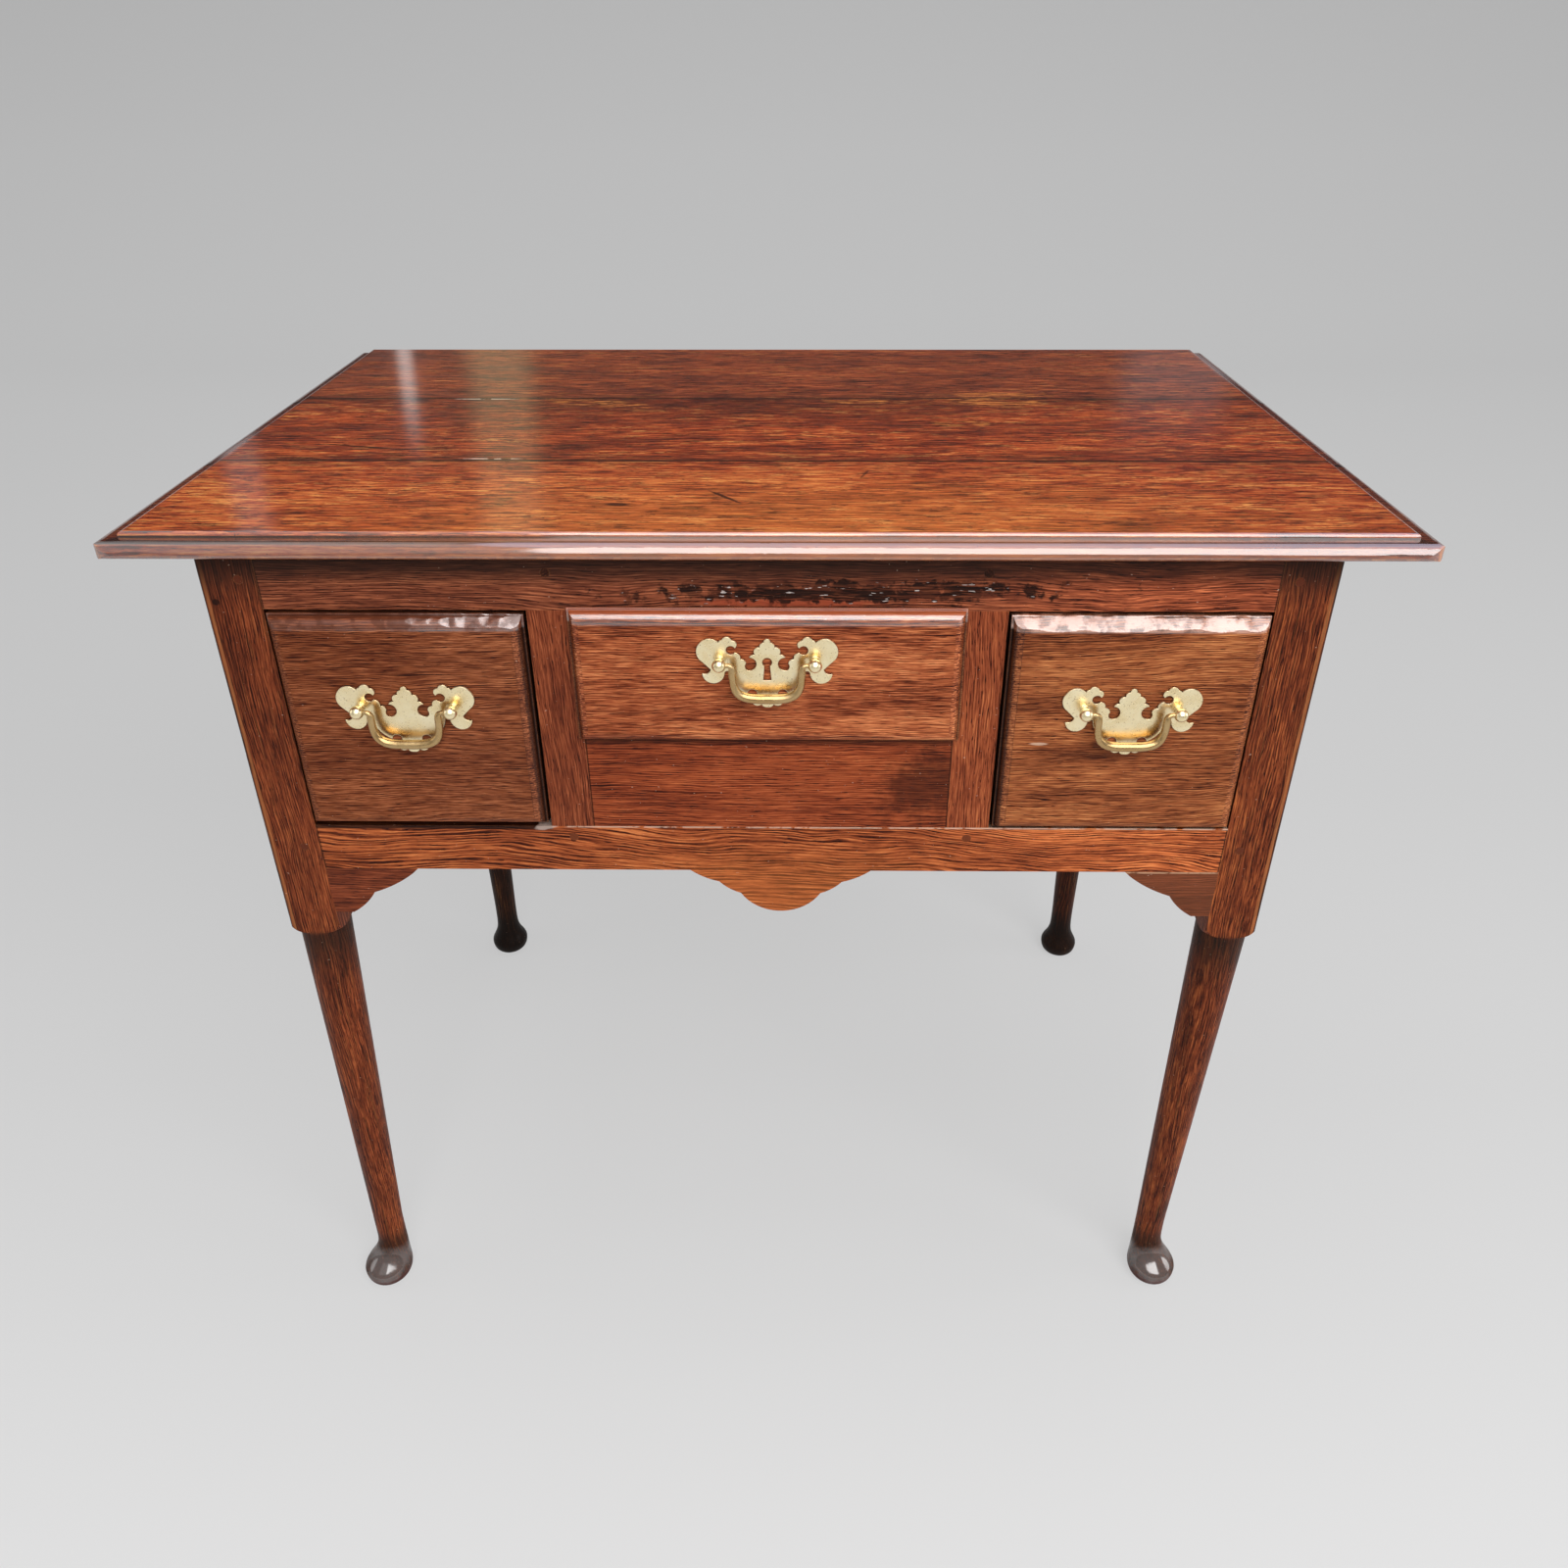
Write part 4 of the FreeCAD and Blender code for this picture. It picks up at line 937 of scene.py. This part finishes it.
ROOM_Y = 3.0
ROOM_HALF = 6.0
ROOM_LOW, ROOM_HIGH = 1.17, 6.0
ROOM_DARK = (0.03, 0.03, 0.032)
ROOM_DRIFT, DRIFT_FROM = 0.04, 1.33  # the doorways lean with height, as much as this per metre above that
DOORWAYS = (  # middle, half width, low, high, softness, light
    (-1.28, 0.022, 1.0, 1.56, 0.03, (3.0, 2.8, 2.7)),
    (-0.97, 0.10, 1.0, 2.20, 0.10, (0.85, 0.77, 0.44)),
    (-1.88, 0.06, 1.60, 2.30, 0.06, (0.8, 0.7, 0.7)),
    (1.24, 0.17, 1.30, 1.55, 0.12, (0.45, 0.45, 0.48)),
)

LAMPS = (  # name, place, target, width, height, watts, whether polish shows it
    ("key", (0.9, -2.1, 2.3), (0.05, 0, 0.5), 2.6, 1.4, 68, False),
    ("overhead", (0.0, 0.3, 3.0), (0, 0, 0), 2.5, 2.0, 24, False),
    ("left", (-3.0, -0.3, 1.2), (0, 0, 0.4), 1.6, 1.6, 9, True),
    ("right", (3.0, -0.3, 1.2), (0, 0, 0.4), 1.6, 1.6, 20, True),
)
CARDS = (  # name, left, right, low and high in degrees, radiance, colour
    ("window", -0.75, 2.1, 17.0, 83.0, 3.6, (1.0, 1.0, 1.0)),
    ("window_left", -2.6, -0.80, 17.0, 83.0, 0.3, (1.0, 1.0, 1.0)),
    ("sky", -0.9, 2.2, 86.0, 140.0, 1.5, (0.82, 0.78, 1.0)),
    ("sky_left", -2.6, -0.95, 86.0, 140.0, 0.6, (1.0, 1.0, 1.0)),
)
CARD_AWAY = 2.6


def cove_profile():
    """(y, z) from the front edge of the floor, through the cove, to the top of the wall."""
    profile = [(FLOOR_FRONT, 0.0), (FLOOR_BACK, 0.0)]
    for step in range(1, COVE_STEPS + 1):
        turn = math.pi / 2 * step / COVE_STEPS
        profile.append((FLOOR_BACK + COVE_RADIUS * math.sin(turn), COVE_RADIUS * (1 - math.cos(turn))))
    profile.append((FLOOR_BACK + COVE_RADIUS, WALL_TOP))
    return profile


def seen(net):
    """1 for what the camera sees, straight or in polish, and 0 for what lights the object."""
    path = net.node("ShaderNodeLightPath").outputs
    through = net.math("MAXIMUM", path["Is Glossy Ray"], path["Is Transmission Ray"])
    return net.math("MAXIMUM", path["Is Camera Ray"], through)


def studio_material():
    """Pale grey. The camera sees mostly a steady tone, with a share of the lit floor and its shadows."""
    material, net = new_material("studio")
    _, y, z = net.split(net.node("ShaderNodeTexCoord").outputs["Object"])
    run = net.remap(net.math("ADD", y, z), TONES_START, TONES_END, smooth=False)
    share = seen(net)
    shader = net.node("ShaderNodeBsdfDiffuse")
    net.feed(shader.inputs["Color"], net.mix(share, LIT_GREY, SEEN_GREY))
    glow = net.node("ShaderNodeEmission")
    net.feed(glow.inputs["Color"], net.ramp(run, *((place, (tone,) * 3) for place, tone in STUDIO_TONES)))
    net.feed(glow.inputs["Strength"], share)
    both = net.node("ShaderNodeAddShader")
    net.feed(both.inputs[0], shader.outputs[0])
    net.feed(both.inputs[1], glow.outputs[0])
    net.surface(both)
    material.cycles.emission_sampling = "NONE"
    return material


def make_studio():
    mesh = bpy.data.meshes.new("studio")
    profile = cove_profile()
    corners = [(side * FLOOR_HALF, y, z) for y, z in profile for side in (-1, 1)]
    faces = [(2 * i, 2 * i + 1, 2 * i + 3, 2 * i + 2) for i in range(len(profile) - 1)]
    mesh.from_pydata(corners, [], faces)
    mesh.polygons.foreach_set("use_smooth", [True] * len(faces))
    studio = bpy.data.objects.new("studio", mesh)
    bpy.context.scene.collection.objects.link(studio)
    dress(studio, studio_material())


def room_material():
    """The dark room behind, with the light of its doorways, as the top's polish shows it."""
    material, net = new_material("room")
    x, _, z = net.split(net.node("ShaderNodeTexCoord").outputs["Object"])
    across = net.add(x, net.times(net.minus(z, DRIFT_FROM), ROOM_DRIFT))
    colour = ROOM_DARK
    for middle, half, low, high, soft, light in DOORWAYS:
        inside = net.remap(net.gap(across, middle), half + soft / 2, half - soft / 2)
        inside = net.times(inside, net.remap(z, low - 0.08, low + 0.08))
        inside = net.times(inside, net.remap(z, high + 0.15, high - 0.15))
        colour = net.mix(inside, colour, light)
    glow = net.node("ShaderNodeEmission")
    net.feed(glow.inputs["Color"], colour)
    net.surface(glow)
    material.cycles.emission_sampling = "NONE"
    return material


def make_room():
    """A screen behind the studio that only polish shows."""
    mesh = bpy.data.meshes.new("room")
    corners = [(side * ROOM_HALF, ROOM_Y, z) for side, z in (
        (-1, ROOM_LOW), (1, ROOM_LOW), (1, ROOM_HIGH), (-1, ROOM_HIGH),
    )]
    mesh.from_pydata(corners, [], [(0, 1, 2, 3)])
    room = bpy.data.objects.new("room", mesh)
    bpy.context.scene.collection.objects.link(room)
    dress(room, room_material())
    for unseen in ("camera", "diffuse", "shadow", "transmission", "volume_scatter"):
        setattr(room, "visible_" + unseen, False)


def make_world():
    world = bpy.data.worlds.new("studio_air")
    world.use_nodes = True
    net = Net(world.node_tree)
    background = world.node_tree.nodes["Background"]
    net.feed(background.inputs["Color"], net.mix(seen(net), AIR_LIT, AIR_SEEN))
    bpy.context.scene.world = world


def soft_box(name, place, target, width, height, watts):
    data = bpy.data.lights.new(name, "AREA")
    data.shape = "RECTANGLE"
    data.size, data.size_y = width, height
    data.energy = watts
    light = bpy.data.objects.new(name, data)
    light.location = place
    light.rotation_euler = (Vector(target) - Vector(place)).to_track_quat("-Z", "Y").to_euler()
    light.visible_camera = False
    bpy.context.scene.collection.objects.link(light)
    return light


def card(name, left, right, low, high, radiance, colour):
    """A light seen only in polish: it spans left to right in X, and low to high degrees over the nose."""
    middle, half = math.radians((low + high) / 2), math.radians((high - low) / 2)
    aim = Vector(((left + right) / 2, NOSE_Y, TOP_Z))
    place = aim + CARD_AWAY * Vector((0.0, -math.cos(middle), math.sin(middle)))
    width, height = right - left, 2 * CARD_AWAY * math.tan(half)
    light = soft_box(name, place, aim, width, height, radiance * math.pi * width * height)
    light.data.color = colour
    light.visible_diffuse = False


def make_lights():
    for *row, glossy in LAMPS:
        soft_box(*row).visible_glossy = glossy
    for row in CARDS:
        card(*row)


make_studio()
make_room()
make_world()
make_lights()
bpy.context.scene.view_settings.view_transform = "Standard"
